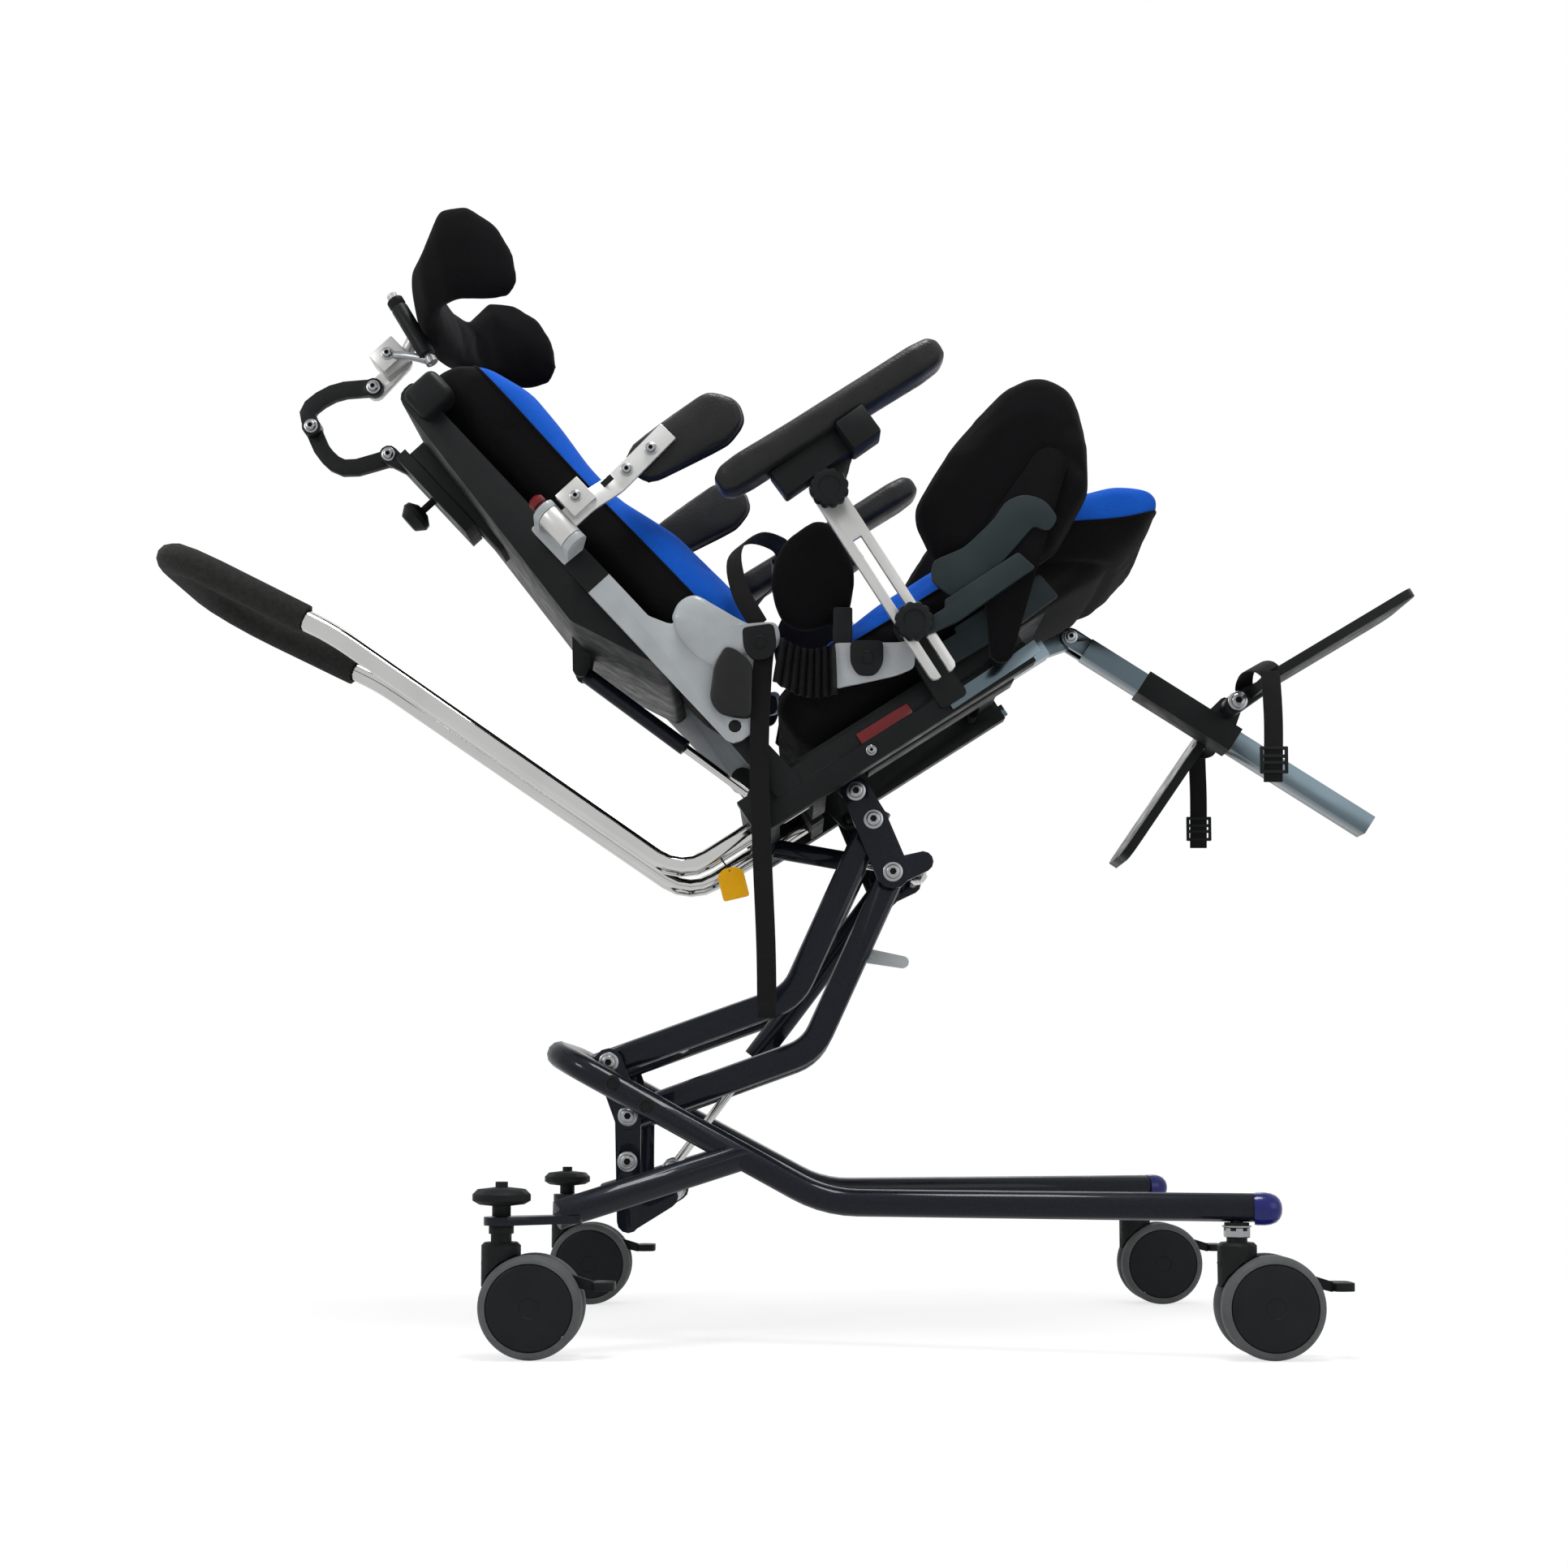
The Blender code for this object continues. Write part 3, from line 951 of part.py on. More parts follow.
def leg_rest(seat):
    extension = solid("leg_extension", block((0.120, -LEG_W / 2, LEG_SLIDE_W - LEG_SLIDE_D / 2),
                                             (0.350, LEG_W / 2, LEG_SLIDE_W + LEG_SLIDE_D / 2)), "chrome")
    knuckle = belt([(0.345, LEG_SLIDE_W, LEG_SLIDE_D / 2 - 0.001), (*LEG_PIVOT, 0.0105)])
    weld(extension, plate(knuckle, -KNUCKLE_T / 2, KNUCKLE_T / 2),
         across(LEG_PIVOT, FOOT_PIN_R, LEG_W / 2, 10))
    extension.parent = seat
    leg = axes("leg_axes", (LEG_PIVOT[0], 0, LEG_PIVOT[1]), LEG_ANGLE - SEAT_ANGLE, seat)
    rail = solid("leg_rail", block((0.022, -LEG_W / 2, -LEG_D / 2), (LEG_LEN, LEG_W / 2, LEG_D / 2)),
                 "chrome")
    fork = belt([(0, 0, 0.0105), (0.030, 0, LEG_D / 2 - 0.001)])
    weld(rail, *pair(fork, KNUCKLE_T / 2 + GAP * 2, LEG_W / 2 - 0.001))
    bore(rail, across((0, 0), FOOT_PIN_R + GAP, 0.1, 10))
    rail.parent = leg
    wide = LEG_W / 2 + SLEEVE_T
    tall = LEG_D / 2 + SLEEVE_T
    clamp = solid("foot_clamp", block((0.095, -wide, -tall), (0.215, wide, tall)), "dark_plastic")
    tower = fillet([(CLAMP_X - 0.020, 0.0), (CLAMP_X + 0.020, 0.0), (CLAMP_X + 0.012, CLAMP_Z + 0.011),
                    (CLAMP_X - 0.012, CLAMP_Z + 0.011)], 0.006, 2)
    weld(clamp, plate(tower, -wide + 0.001, wide - 0.001), across((CLAMP_X, CLAMP_Z), FOOT_PIN_R, 0.062, 10))
    bore(clamp, block((0, -LEG_W / 2 - GAP, -LEG_D / 2 - GAP), (LEG_LEN, LEG_W / 2 + GAP, LEG_D / 2 + GAP)))
    clamp.parent = leg
    for hand, side, angle, reach in FOOT_SIDES:
        hinge = axes(f"{hand}_foot_axes", (CLAMP_X, 0, CLAMP_Z), angle, leg)
        near, far = wide + 0.004, wide + 0.004 + FOOT_W
        sole = fillet([(reach - PLATE_LEN, side * near), (reach, side * near), (reach, side * far),
                       (reach - PLATE_LEN, side * far)], 0.018, 3)
        foot = solid(f"{hand}_foot_plate", slab(sole, -FOOT_T / 2, FOOT_T / 2), "dark_plastic")
        ear = belt([(0, 0, 0.0105), (reach - PLATE_LEN + 0.03, 0, FOOT_T / 2 + 0.002)])
        weld(foot, plate(ear, *sorted((side * near, side * (near + 0.026)))))
        bore(foot, across((0, 0), FOOT_PIN_R + GAP, 0.1, 10))
        foot.parent = hinge


# Hip strap, hanging plumb from the seat at its right side

STRAP_W = 0.022
STRAP_T = 0.002
STRAP_X = -0.010
STRAP_Y = PLATE_Y + SIDE_T + GAP + STRAP_T / 2
STRAP_TOP = 0.712
STRAP_LOW = 0.330


def hip_strap():
    route = [(STRAP_X + 0.004, 0, STRAP_TOP), (STRAP_X, 0, 0.600), (STRAP_X + 0.003, 0, 0.460),
             (STRAP_X + 0.008, 0, STRAP_LOW)]
    path = [p + Vector((0, -STRAP_Y, 0)) for p in smooth(route, 9)]
    section = [(-STRAP_W / 2, -STRAP_T / 2), (STRAP_W / 2, -STRAP_T / 2),
               (STRAP_W / 2, STRAP_T / 2), (-STRAP_W / 2, STRAP_T / 2)]
    solid("hip_strap", sweep(path, section, (0, 1, 0)), "black_fabric")


def recline_spring(seat):
    a = math.radians(BACK_ANGLE)
    head = (STRUT_HEAD[0] * math.cos(a) - STRUT_HEAD[1] * math.sin(a),
            STRUT_HEAD[0] * math.sin(a) + STRUT_HEAD[1] * math.cos(a))
    gas_spring("recline_spring", STRUT_SEAT, head, 0.009, 0.60, 0.004, 0.006, 0.013, seat)


def main():
    start()
    base()
    casters()
    pivot_frame()
    lift_arms()
    carrier()
    springs()
    seat = axes("seat_axes", (RECLINE_PIVOT[0], 0, RECLINE_PIVOT[1]), SEAT_ANGLE)
    back = axes("back_axes", (0, 0, 0), BACK_ANGLE, seat)
    for make in (seat_frame, seat_cushion, thigh_pads, armrests, push_handle, leg_rest, recline_spring):
        make(seat)
    for make in (back_shell, back_cushion, side_rails, laterals, headrest):
        make(back)
    hip_strap()
    bpy.context.view_layer.update()


if __name__ == "__main__":
    main()
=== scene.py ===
"""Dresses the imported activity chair: upholstery, lacquer, chrome, straps and fittings."""

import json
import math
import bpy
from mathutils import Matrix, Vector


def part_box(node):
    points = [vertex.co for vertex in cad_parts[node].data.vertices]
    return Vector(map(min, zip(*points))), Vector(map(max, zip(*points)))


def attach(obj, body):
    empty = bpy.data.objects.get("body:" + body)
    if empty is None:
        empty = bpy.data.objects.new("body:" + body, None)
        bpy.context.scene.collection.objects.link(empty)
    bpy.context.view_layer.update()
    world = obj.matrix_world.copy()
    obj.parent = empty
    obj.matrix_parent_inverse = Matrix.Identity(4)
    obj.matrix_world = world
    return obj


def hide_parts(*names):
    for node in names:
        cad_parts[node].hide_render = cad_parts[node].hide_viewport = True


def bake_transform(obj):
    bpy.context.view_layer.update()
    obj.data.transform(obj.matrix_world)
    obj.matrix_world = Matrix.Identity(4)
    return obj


bl_info = {
    "name": "Activity Chair Dressing",
    "version": (1, 0, 0),
    "blender": (4, 5, 0),
    "location": "View3D > Sidebar > Chair",
    "description": "Upholstery, finishes, straps and small fittings for a wheeled activity chair",
    "category": "Object",
}

import bpy
from bpy.props import FloatProperty, FloatVectorProperty, PointerProperty
from mathutils import Matrix, Vector
from mathutils.bvhtree import BVHTree

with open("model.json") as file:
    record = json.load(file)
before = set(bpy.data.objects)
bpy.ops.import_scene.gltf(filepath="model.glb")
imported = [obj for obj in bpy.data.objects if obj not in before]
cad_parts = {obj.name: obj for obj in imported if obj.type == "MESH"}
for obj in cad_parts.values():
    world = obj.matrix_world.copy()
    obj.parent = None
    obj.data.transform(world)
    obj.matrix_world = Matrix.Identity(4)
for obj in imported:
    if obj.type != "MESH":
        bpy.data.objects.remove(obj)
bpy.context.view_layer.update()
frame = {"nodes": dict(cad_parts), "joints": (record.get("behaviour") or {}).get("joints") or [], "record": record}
NODES = frame["nodes"]
JOINT = {joint["name"]: joint for joint in frame["joints"]}
BODY_OF = {node: body for body, group in frame["record"]["behaviour"]["bodies"].items() for node in group}

HANDS = (("right", -1), ("left", 1))
UNTURNED = Matrix.Identity(3)
MERGE = 0.00002                  # distance under which vertices are one, metres
SMOOTH_ANGLE = math.radians(40)
EDGE_ANGLE = math.radians(46)


def spot(joint):
    """Where a joint's axis lies."""
    return Vector(JOINT[joint]["pos_m"])


def axis(joint):
    return Vector(JOINT[joint]["axis"]).normalized()


SIDEWAYS = Vector((0, 1, 0))
SEAT_ALONG = axis("leg_length")
SEAT_UP = axis("right_armrest_height")
BACK_OUT = axis("star_knob_turn")
BACK_UP = axis("headrest_height")
HIP = spot("recline")


def on_seat(along, across, up):
    return HIP + SEAT_ALONG * along + SIDEWAYS * across + SEAT_UP * up


def on_back(out, across, up):
    return HIP + BACK_OUT * out + SIDEWAYS * across + BACK_UP * up


def turn_to(direction, sideways=SIDEWAYS):
    """Rotation that takes local Z to the direction, with local Y kept near the sideways axis."""
    z = Vector(direction).normalized()
    x = Vector(sideways).cross(z)
    if x.length < 0.01:
        x = Vector((1, 0, 0))
    x.normalize()
    y = z.cross(x)
    return Matrix((x, y, z)).transposed()


def side_turn(side):
    """Rotation that takes local Z out to one side, with local Y up."""
    return turn_to((0, side, 0), (0, 0, 1))


def outer_face(node):
    """Distance of a CAD node's outer side from the middle of the chair."""
    low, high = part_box(node)
    return max(abs(low.y), abs(high.y))


# Modelling helpers

def pick(*pieces):
    """Leave only these pieces selected, the first one active."""
    if bpy.context.object and bpy.context.object.mode != "OBJECT":
        bpy.ops.object.mode_set(mode="OBJECT")
    bpy.ops.object.select_all(action="DESELECT")
    for piece in pieces:
        piece.select_set(True)
    bpy.context.view_layer.objects.active = pieces[0]


def edit(piece):
    pick(piece)
    bpy.ops.object.mode_set(mode="EDIT")
    bpy.ops.mesh.select_all(action="SELECT")


def leave():
    bpy.ops.object.mode_set(mode="OBJECT")


def modify(piece, kind, **values):
    """Add a modifier, set it and apply it."""
    modifier = piece.modifiers.new(kind.title(), kind)
    for key, value in values.items():
        setattr(modifier, key, value)
    pick(piece)
    bpy.ops.object.modifier_apply(modifier=modifier.name)


def place(piece, rotation, location):
    """Turn and move a piece that was modelled at the origin, and keep the place in its mesh."""
    piece.data.transform(Matrix.Translation(location) @ rotation.to_4x4())
    piece.data.update()


def smooth(piece, angle=SMOOTH_ANGLE):
    pick(piece)
    bpy.ops.object.shade_smooth_by_angle(angle=angle)


def soften(piece, width, segments=2):
    modify(piece, "BEVEL", width=width, segments=segments, limit_method="ANGLE", angle_limit=EDGE_ANGLE)


def fix_normals(piece):
    edit(piece)
    bpy.ops.mesh.remove_doubles(threshold=MERGE)
    bpy.ops.mesh.normals_make_consistent(inside=False)
    leave()


def join(name, pieces):
    pick(*pieces)
    if len(pieces) > 1:
        bpy.ops.object.join()
    pieces[0].name = name
    return pieces[0]


def copies(piece, moves):
    """The piece and its copies at other places, each with its own mesh."""
    result = []
    for number, (rotation, location) in enumerate(moves):
        twin = piece.copy()
        twin.data = piece.data.copy()
        twin.name = f"{piece.name}.{number}"
        bpy.context.collection.objects.link(twin)
        place(twin, rotation, location)
        result.append(twin)
    bpy.data.objects.remove(piece)
    return result


def lathe(name, profile, segments=32, cap=True):
    """Round form about local Z from radius and height pairs: a ring extruded and scaled, step by step."""
    (radius, height), *rest = profile
    bpy.ops.object.select_all(action="DESELECT")
    bpy.ops.mesh.primitive_circle_add(vertices=segments, radius=radius, location=(0, 0, height),
                                      fill_type="NGON" if cap else "NOTHING")
    piece = bpy.context.object
    pick(piece)
    bpy.ops.object.transform_apply(location=True, rotation=True, scale=True)
    edit(piece)
    bpy.ops.mesh.select_mode(type="EDGE")
    for next_radius, next_height in rest:
        bpy.ops.mesh.extrude_edges_move(TRANSFORM_OT_translate={"value": (0, 0, next_height - height)})
        share = next_radius / radius
        bpy.ops.transform.resize(value=(share, share, 1), center_override=(0, 0, next_height))
        radius, height = next_radius, next_height
    if cap:
        bpy.ops.mesh.edge_face_add()
    leave()
    fix_normals(piece)
    piece.name = name
    return piece


def bar(name, size, bevel=0.0, segments=2):
    """Box of the given size about the origin with rounded edges."""
    bpy.ops.object.select_all(action="DESELECT")
    bpy.ops.mesh.primitive_cube_add(size=1)
    piece = bpy.context.object
    piece.scale = size
    pick(piece)
    bpy.ops.object.transform_apply(location=True, rotation=True, scale=True)
    if bevel:
        edit(piece)
        bpy.ops.mesh.bevel(offset=bevel, segments=segments, affect="EDGES")
        leave()
    piece.name = name
    return piece


def cord_tube(name, points, radius, sides=3, closed=False):
    """Round tube on a smooth curve through the points."""
    bpy.ops.object.select_all(action="DESELECT")
    bpy.ops.curve.primitive_bezier_curve_add()
    piece = bpy.context.object
    curve = piece.data
    curve.splines.clear()
    spline = curve.splines.new("BEZIER")
    spline.bezier_points.add(len(points) - 1)
    for point, location in zip(spline.bezier_points, points):
        point.co = location
        point.handle_left_type = point.handle_right_type = "AUTO"
    spline.use_cyclic_u = closed
    curve.dimensions = "3D"
    curve.bevel_depth = radius
    curve.bevel_resolution = sides
    curve.resolution_u = 6
    curve.use_fill_caps = True
    pick(piece)
    bpy.ops.object.convert(target="MESH")
    piece = bpy.context.object
    piece.name = name
    fix_normals(piece)
    return piece


def ribbon(name, points, width, thick, across):
    """Flat strap along the points, its width along the across direction."""
    fine = curve_points(points)
    bpy.ops.object.select_all(action="DESELECT")
    bpy.ops.mesh.primitive_grid_add(x_subdivisions=2, y_subdivisions=len(fine) - 1, size=1)
    piece = bpy.context.object
    rows = sorted(piece.data.vertices, key=lambda v: (round(v.co.y, 5), v.co.x))
    across = Vector(across).normalized()
    for number, vertex in enumerate(rows):
        row, column = divmod(number, 3)
        vertex.co = fine[row] + across * width * (column / 2 - 0.5)
    piece.location = (0, 0, 0)
    modify(piece, "SOLIDIFY", thickness=thick, offset=0)
    fix_normals(piece)
    soften(piece, thick * 0.3)
    piece.name = name
    return piece


def curve_points(points, steps=6):
    """Points on a smooth curve through the given ones."""
    points = [Vector(p) for p in points]
    ends = [points[0] * 2 - points[1]] + points + [points[-1] * 2 - points[-2]]
    fine = []
    for a, b, c, d in zip(ends, ends[1:], ends[2:], ends[3:]):
        for step in range(steps):
            t = step / steps
            fine.append(0.5 * (2 * b + (c - a) * t + (2 * a - 5 * b + 4 * c - d) * t * t
                               + (3 * b - a - 3 * c + d) * t ** 3))
    return fine + [points[-1]]


def outline_plate(name, outline, thick, bevel):
    """Flat plate in local XY with the given outline, its middle at Z 0."""
    bpy.ops.object.select_all(action="DESELECT")
    bpy.ops.mesh.primitive_circle_add(vertices=len(outline), radius=1, fill_type="NGON")
    piece = bpy.context.object
    for vertex, (x, y) in zip(piece.data.vertices, outline):
        vertex.co = (x, y, -thick / 2)
    edit(piece)
    bpy.ops.mesh.extrude_region_move(TRANSFORM_OT_translate={"value": (0, 0, thick)})
    leave()
    fix_normals(piece)
    soften(piece, bevel)
    piece.name = name
    return piece


def round_outline(points, radius, steps=5):
    """Closed outline with its corners rounded."""
    points = [Vector(p) for p in points]
    result = []
    for before, corner, after in zip(points[-1:] + points[:-1], points, points[1:] + points[:1]):
        into = (before - corner)
        out = (after - corner)
        reach = min(radius, into.length * 0.45, out.length * 0.45)
        start = corner + into.normalized() * reach
        end = corner + out.normalized() * reach
        for step in range(steps + 1):
            t = step / steps
            result.append(start * (1 - t) ** 2 + corner * 2 * t * (1 - t) + end * t * t)
    return result


def shell_copy(node, name):
    """Copy of a CAD node's mesh with its loose triangles merged."""
    piece = bpy.data.objects.new(name, NODES[node].data.copy())
    bpy.context.collection.objects.link(piece)
    piece.data.materials.clear()
    edit(piece)
    bpy.ops.mesh.remove_doubles(threshold=MERGE)
    bpy.ops.mesh.customdata_custom_splitnormals_clear()
    leave()
    return piece


def paint(piece, finish):
    piece.data.materials.clear()
    piece.data.materials.append(finish)


def settle(piece, body, slot, *nodes):
    """Ride on a body and stand for CAD nodes; the slot is not used."""
    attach(piece, body)
    if nodes:
        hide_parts(*nodes)
    return piece


def dress(piece, finish, body, slot, *nodes):
    """Smooth, paint and settle a finished piece."""
    smooth(piece)
    paint(piece, FINISH[finish])
    return settle(piece, body, slot, *nodes)


# Settings that a user would change

def colour(name, default, description):
    return FloatVectorProperty(name=name, description=description, subtype="COLOR", size=3,
                               min=0, max=1, default=default)


def length(name, default, description):
    return FloatProperty(name=name, description=description, default=default, min=0, unit="LENGTH",
                         precision=4)


class ChairColours(bpy.types.PropertyGroup):
    """Colours of the chair's finishes."""
    lacquer: colour("Lacquer", (0.0032, 0.0042, 0.0070), "Metallic coat of the tubes and plates")
    end_cap: colour("End cap", (0.006, 0.008, 0.085), "Domed caps on the front tubes")
    plastic: colour("Plastic", (0.0052, 0.0060, 0.0063), "Moulded housings, knobs and foot plates")
    slate: colour("Slate", (0.013, 0.019, 0.021), "Slate grey brackets beside the seat")
    tyre: colour("Tyre", (0.044, 0.048, 0.049), "Caster treads")
    hub: colour("Hub", (0.0060, 0.0068, 0.0080), "Caster hub discs")
    silver: colour("Silver", (0.29, 0.31, 0.32), "Silver moulded side guards")
    chrome: colour("Chrome", (0.50, 0.50, 0.49), "Plated tubes and rods")
    zinc: colour("Zinc", (0.100, 0.132, 0.152), "Plated leg tubes and their sleeves")
    steel: colour("Steel", (0.28, 0.29, 0.30), "Bolts and slotted bars")
    aluminium: colour("Aluminium", (0.48, 0.48, 0.47), "Armrest posts and headrest mount")
    black_cloth: colour("Black cloth", (0.0022, 0.0022, 0.0027), "Sides of the upholstery")
    blue_cloth: colour("Blue cloth", (0.004, 0.066, 0.370), "Crown panels of the seat and back")
    vinyl: colour("Vinyl", (0.0055, 0.0057, 0.0062), "Arm pads and headrest")
    foam: colour("Foam", (0.014, 0.014, 0.0135), "Push handle grip")
    webbing: colour("Webbing", (0.0035, 0.0035, 0.0042), "Straps")
    red: colour("Red", (0.085, 0.0015, 0.0025), "Latch insert and release buttons")
    yellow: colour("Yellow", (0.620, 0.310, 0.003), "Hang tag")
    floor: colour("Floor", (0.86, 0.86, 0.86), "Studio floor")


class ChairSizes(bpy.types.PropertyGroup):
    """Sizes of the dressing."""
    edge: length("Edge", 0.0005, "Rounding of hard edges")
    piping: length("Piping", 0.0016, "Radius of the sewn seams")
    voxel: length("Voxel", 0.0060, "Mesh size of the padded pieces before they are filled")
    strap: length("Strap", 0.022, "Width of the hip and foot straps")
    bolt: length("Bolt", 0.0078, "Radius of the pivot bolt heads")
    washer: length("Washer", 0.0105, "Radius of the pivot washers")
    camera_distance: length("Camera distance", 2.05, "Distance of the camera from the middle of the chair")
    lens: FloatProperty(name="Lens", description="Focal length on a 36 mm sensor, in millimetres",
                        default=42.75)


# Finishes

class Finish:
    """A Principled material and the nodes that feed it."""

    def __init__(self, name, tint, roughness, metallic=0.0, **sockets):
        self.material = bpy.data.materials.new(name)
        self.material.use_nodes = True
        self.tree = self.material.node_tree
        self.shader = self.tree.nodes["Principled BSDF"]
        self.tint = tuple(tint)
        self.material.diffuse_color = (*self.tint, 1)
        self.set(self.shader, {"Base Color": (*self.tint, 1), "Roughness": roughness, "Metallic": metallic})
        self.set(self.shader, {key.replace("_", " "): value for key, value in sockets.items()})
        self.place = self.tree.nodes.new("ShaderNodeTexCoord").outputs["Object"]

    def set(self, node, values):
        for key, value in values.items():
            node.inputs[key].default_value = value

    def node(self, kind, inputs=None, **settings):
        node = self.tree.nodes.new(kind)
        for key, value in settings.items():
            setattr(node, key, value)
        for key, value in (inputs or {}).items():
            if isinstance(value, bpy.types.NodeSocket):
                self.tree.links.new(value, node.inputs[key])
            else:
                node.inputs[key].default_value = value
        return node

    def turned(self, scale=(1, 1, 1), rotation=(0, 0, 0), location=(0, 0, 0)):
        node = self.node("ShaderNodeMapping", {"Vector": self.place, "Scale": scale, "Rotation": rotation,
                                               "Location": location})
        return node.outputs["Vector"]

    def noise(self, scale, detail=3.0, vector=None):
        node = self.node("ShaderNodeTexNoise", {"Vector": vector or self.place, "Scale": scale,
                                                "Detail": detail})
        return node.outputs["Fac"]

    def cells(self, scale, output="Distance"):
        node = self.node("ShaderNodeTexVoronoi", {"Vector": self.place, "Scale": scale})
        return node.outputs[output]

    def threads(self, direction, scale):
        node = self.node("ShaderNodeTexWave", {"Vector": self.place, "Scale": scale, "Distortion": 0.6,
                                               "Detail": 1.0}, bands_direction=direction)
        return node.outputs["Fac"]

    def math(self, operation, a, b):
        return self.node("ShaderNodeMath", {0: a, 1: b}, operation=operation).outputs[0]

    def spread(self, value, low, high):
        """Take a texture's middle range to new limits."""
        node = self.node("ShaderNodeMapRange", {"Value": value, "From Min": 0.3, "From Max": 0.7,
                                                "To Min": low, "To Max": high})
        return node.outputs["Result"]

    def shade(self, factor, dark, light):
        """Colour between two strengths of the tint."""
        low = tuple(min(1, c * dark) for c in self.tint)
        high = tuple(min(1, c * light) for c in self.tint)
        return self.mix(factor, (*low, 1), (*high, 1))

    def mix(self, factor, a, b):
        node = self.node("ShaderNodeMix", {"Factor": factor}, data_type="RGBA")
        for socket, value in ((node.inputs[6], a), (node.inputs[7], b)):
            if isinstance(value, bpy.types.NodeSocket):
                self.tree.links.new(value, socket)
            else:
                socket.default_value = value
        return node.outputs[2]

    def feed(self, socket, value):
        self.tree.links.new(value, self.shader.inputs[socket])

    def relief(self, height, strength, distance):
        node = self.node("ShaderNodeBump", {"Height": height, "Strength": strength, "Distance": distance})
        self.feed("Normal", node.outputs["Normal"])


def lacquer_finish(tint):
    """Dark metallic coat with fine flake and a slight orange peel."""
    finish = Finish("frame_lacquer", tint, 0.34, 0.2, Coat_Weight=0.20, Coat_Roughness=0.05,
                    Specular_IOR_Level=0.05)
    flake = finish.spread(finish.cells(2600, "Color"), 0.0, 1.0)
    finish.feed("Base Color", finish.shade(flake, 0.7, 2.4))
    finish.feed("Roughness", finish.spread(finish.noise(38, 5), 0.24, 0.40))
    finish.relief(finish.noise(420, 2), 0.05, 0.0004)
    return finish.material


def moulded_finish(name, tint, roughness, grain=900, coat=0.0, variation=1.5):
    """Moulded plastic with a fine etched grain and slightly rubbed patches."""
    finish = Finish(name, tint, roughness, 0.0, Coat_Weight=coat, Coat_Roughness=0.12,
                    Specular_IOR_Level=0.11)
    finish.feed("Base Color", finish.shade(finish.noise(26, 5), 0.75, variation))
    finish.feed("Roughness", finish.spread(finish.noise(55, 4), roughness * 0.8, min(1, roughness * 1.2)))
    finish.relief(finish.noise(grain, 2), 0.18, 0.0003)
    return finish.material


def tyre_finish(tint):
    finish = Finish("tyre_rubber", tint, 0.72)
    finish.feed("Base Color", finish.shade(finish.noise(34, 6), 0.75, 1.3))
    finish.feed("Roughness", finish.spread(finish.noise(80, 4), 0.62, 0.85))
    finish.relief(finish.noise(700, 3), 0.25, 0.0004)
    return finish.material


def plated_finish(name, tint, roughness, brushed=0.0, stretch=(1, 1, 1), metallic=1.0):
    """Bare or plated metal: smears in the gloss, and brush lines where it is brushed."""
    finish = Finish(name, tint, roughness, metallic)
    finish.feed("Base Color", finish.shade(finish.noise(17, 4), 0.88, 1.08))
    finish.feed("Roughness", finish.spread(finish.noise(14, 3), roughness * 0.8, roughness * 1.25))
    if brushed:
        finish.relief(finish.noise(900, 2, finish.turned(scale=stretch)), brushed, 0.0002)
    return finish.material


def cloth_weave(finish, scale=900):
    across = finish.math("MAXIMUM", finish.threads("X", scale), finish.threads("Z", scale))
    return finish.math("ADD", across, finish.math("MULTIPLY", finish.threads("Y", scale), 0.7))


def cloth_finish(name, tint):
    """Short-pile knitted cloth with a soft sheen."""
    finish = Finish(name, tint, 0.95, 0.0, Sheen_Weight=0.03, Sheen_Roughness=0.5,
                    Specular_IOR_Level=0.05)
    pile = finish.noise(520, 4)
    finish.feed("Base Color", finish.shade(pile, 0.6, 1.7))
    weave = finish.math("ADD", cloth_weave(finish), finish.math("MULTIPLY", pile, 0.8))
    finish.relief(weave, 0.30, 0.0005)
    return finish.material


def panel_finish(name, crown, side):
    """Two-colour upholstery: the crown colour lies where the crown attribute is above nothing."""
    finish = Finish(name, crown, 0.92, 0.0, Sheen_Weight=0.03, Sheen_Roughness=0.45,
                    Specular_IOR_Level=0.08)
    height = finish.node("ShaderNodeAttribute", attribute_name="crown").outputs["Fac"]
    on_top = finish.math("GREATER_THAN", height, 0.0)
    pile = finish.noise(520, 4)
    blue = finish.shade(pile, 0.75, 1.3)
    black = finish.mix(pile, tuple(c * 0.6 for c in side) + (1,), tuple(c * 1.7 for c in side) + (1,))
    finish.feed("Base Color", finish.mix(on_top, black, blue))
    weave = finish.math("ADD", cloth_weave(finish), finish.math("MULTIPLY", pile, 0.8))
    finish.relief(weave, 0.30, 0.0005)
    return finish.material


def vinyl_finish(tint):
    """Grained cover with small cells and rubbed highlights."""
    finish = Finish("black_vinyl", tint, 0.42, Specular_IOR_Level=0.2)
    grain = finish.cells(520)
    finish.feed("Base Color", finish.shade(finish.noise(30, 4), 0.8, 1.6))
    finish.feed("Roughness", finish.spread(finish.noise(60, 4), 0.34, 0.52))
    wrinkles = finish.math("MULTIPLY", finish.noise(260, 3), 0.5)
    finish.relief(finish.math("ADD", grain, wrinkles), 0.35, 0.0006)
    return finish.material


def foam_finish(tint):
    finish = Finish("foam", tint, 0.95, 0.0, Sheen_Weight=0.03, Specular_IOR_Level=0.08)
    finish.feed("Base Color", finish.shade(finish.noise(160, 6), 0.6, 1.7))
    finish.relief(finish.math("ADD", finish.cells(620), finish.noise(240, 6)), 0.5, 0.0009)
    return finish.material


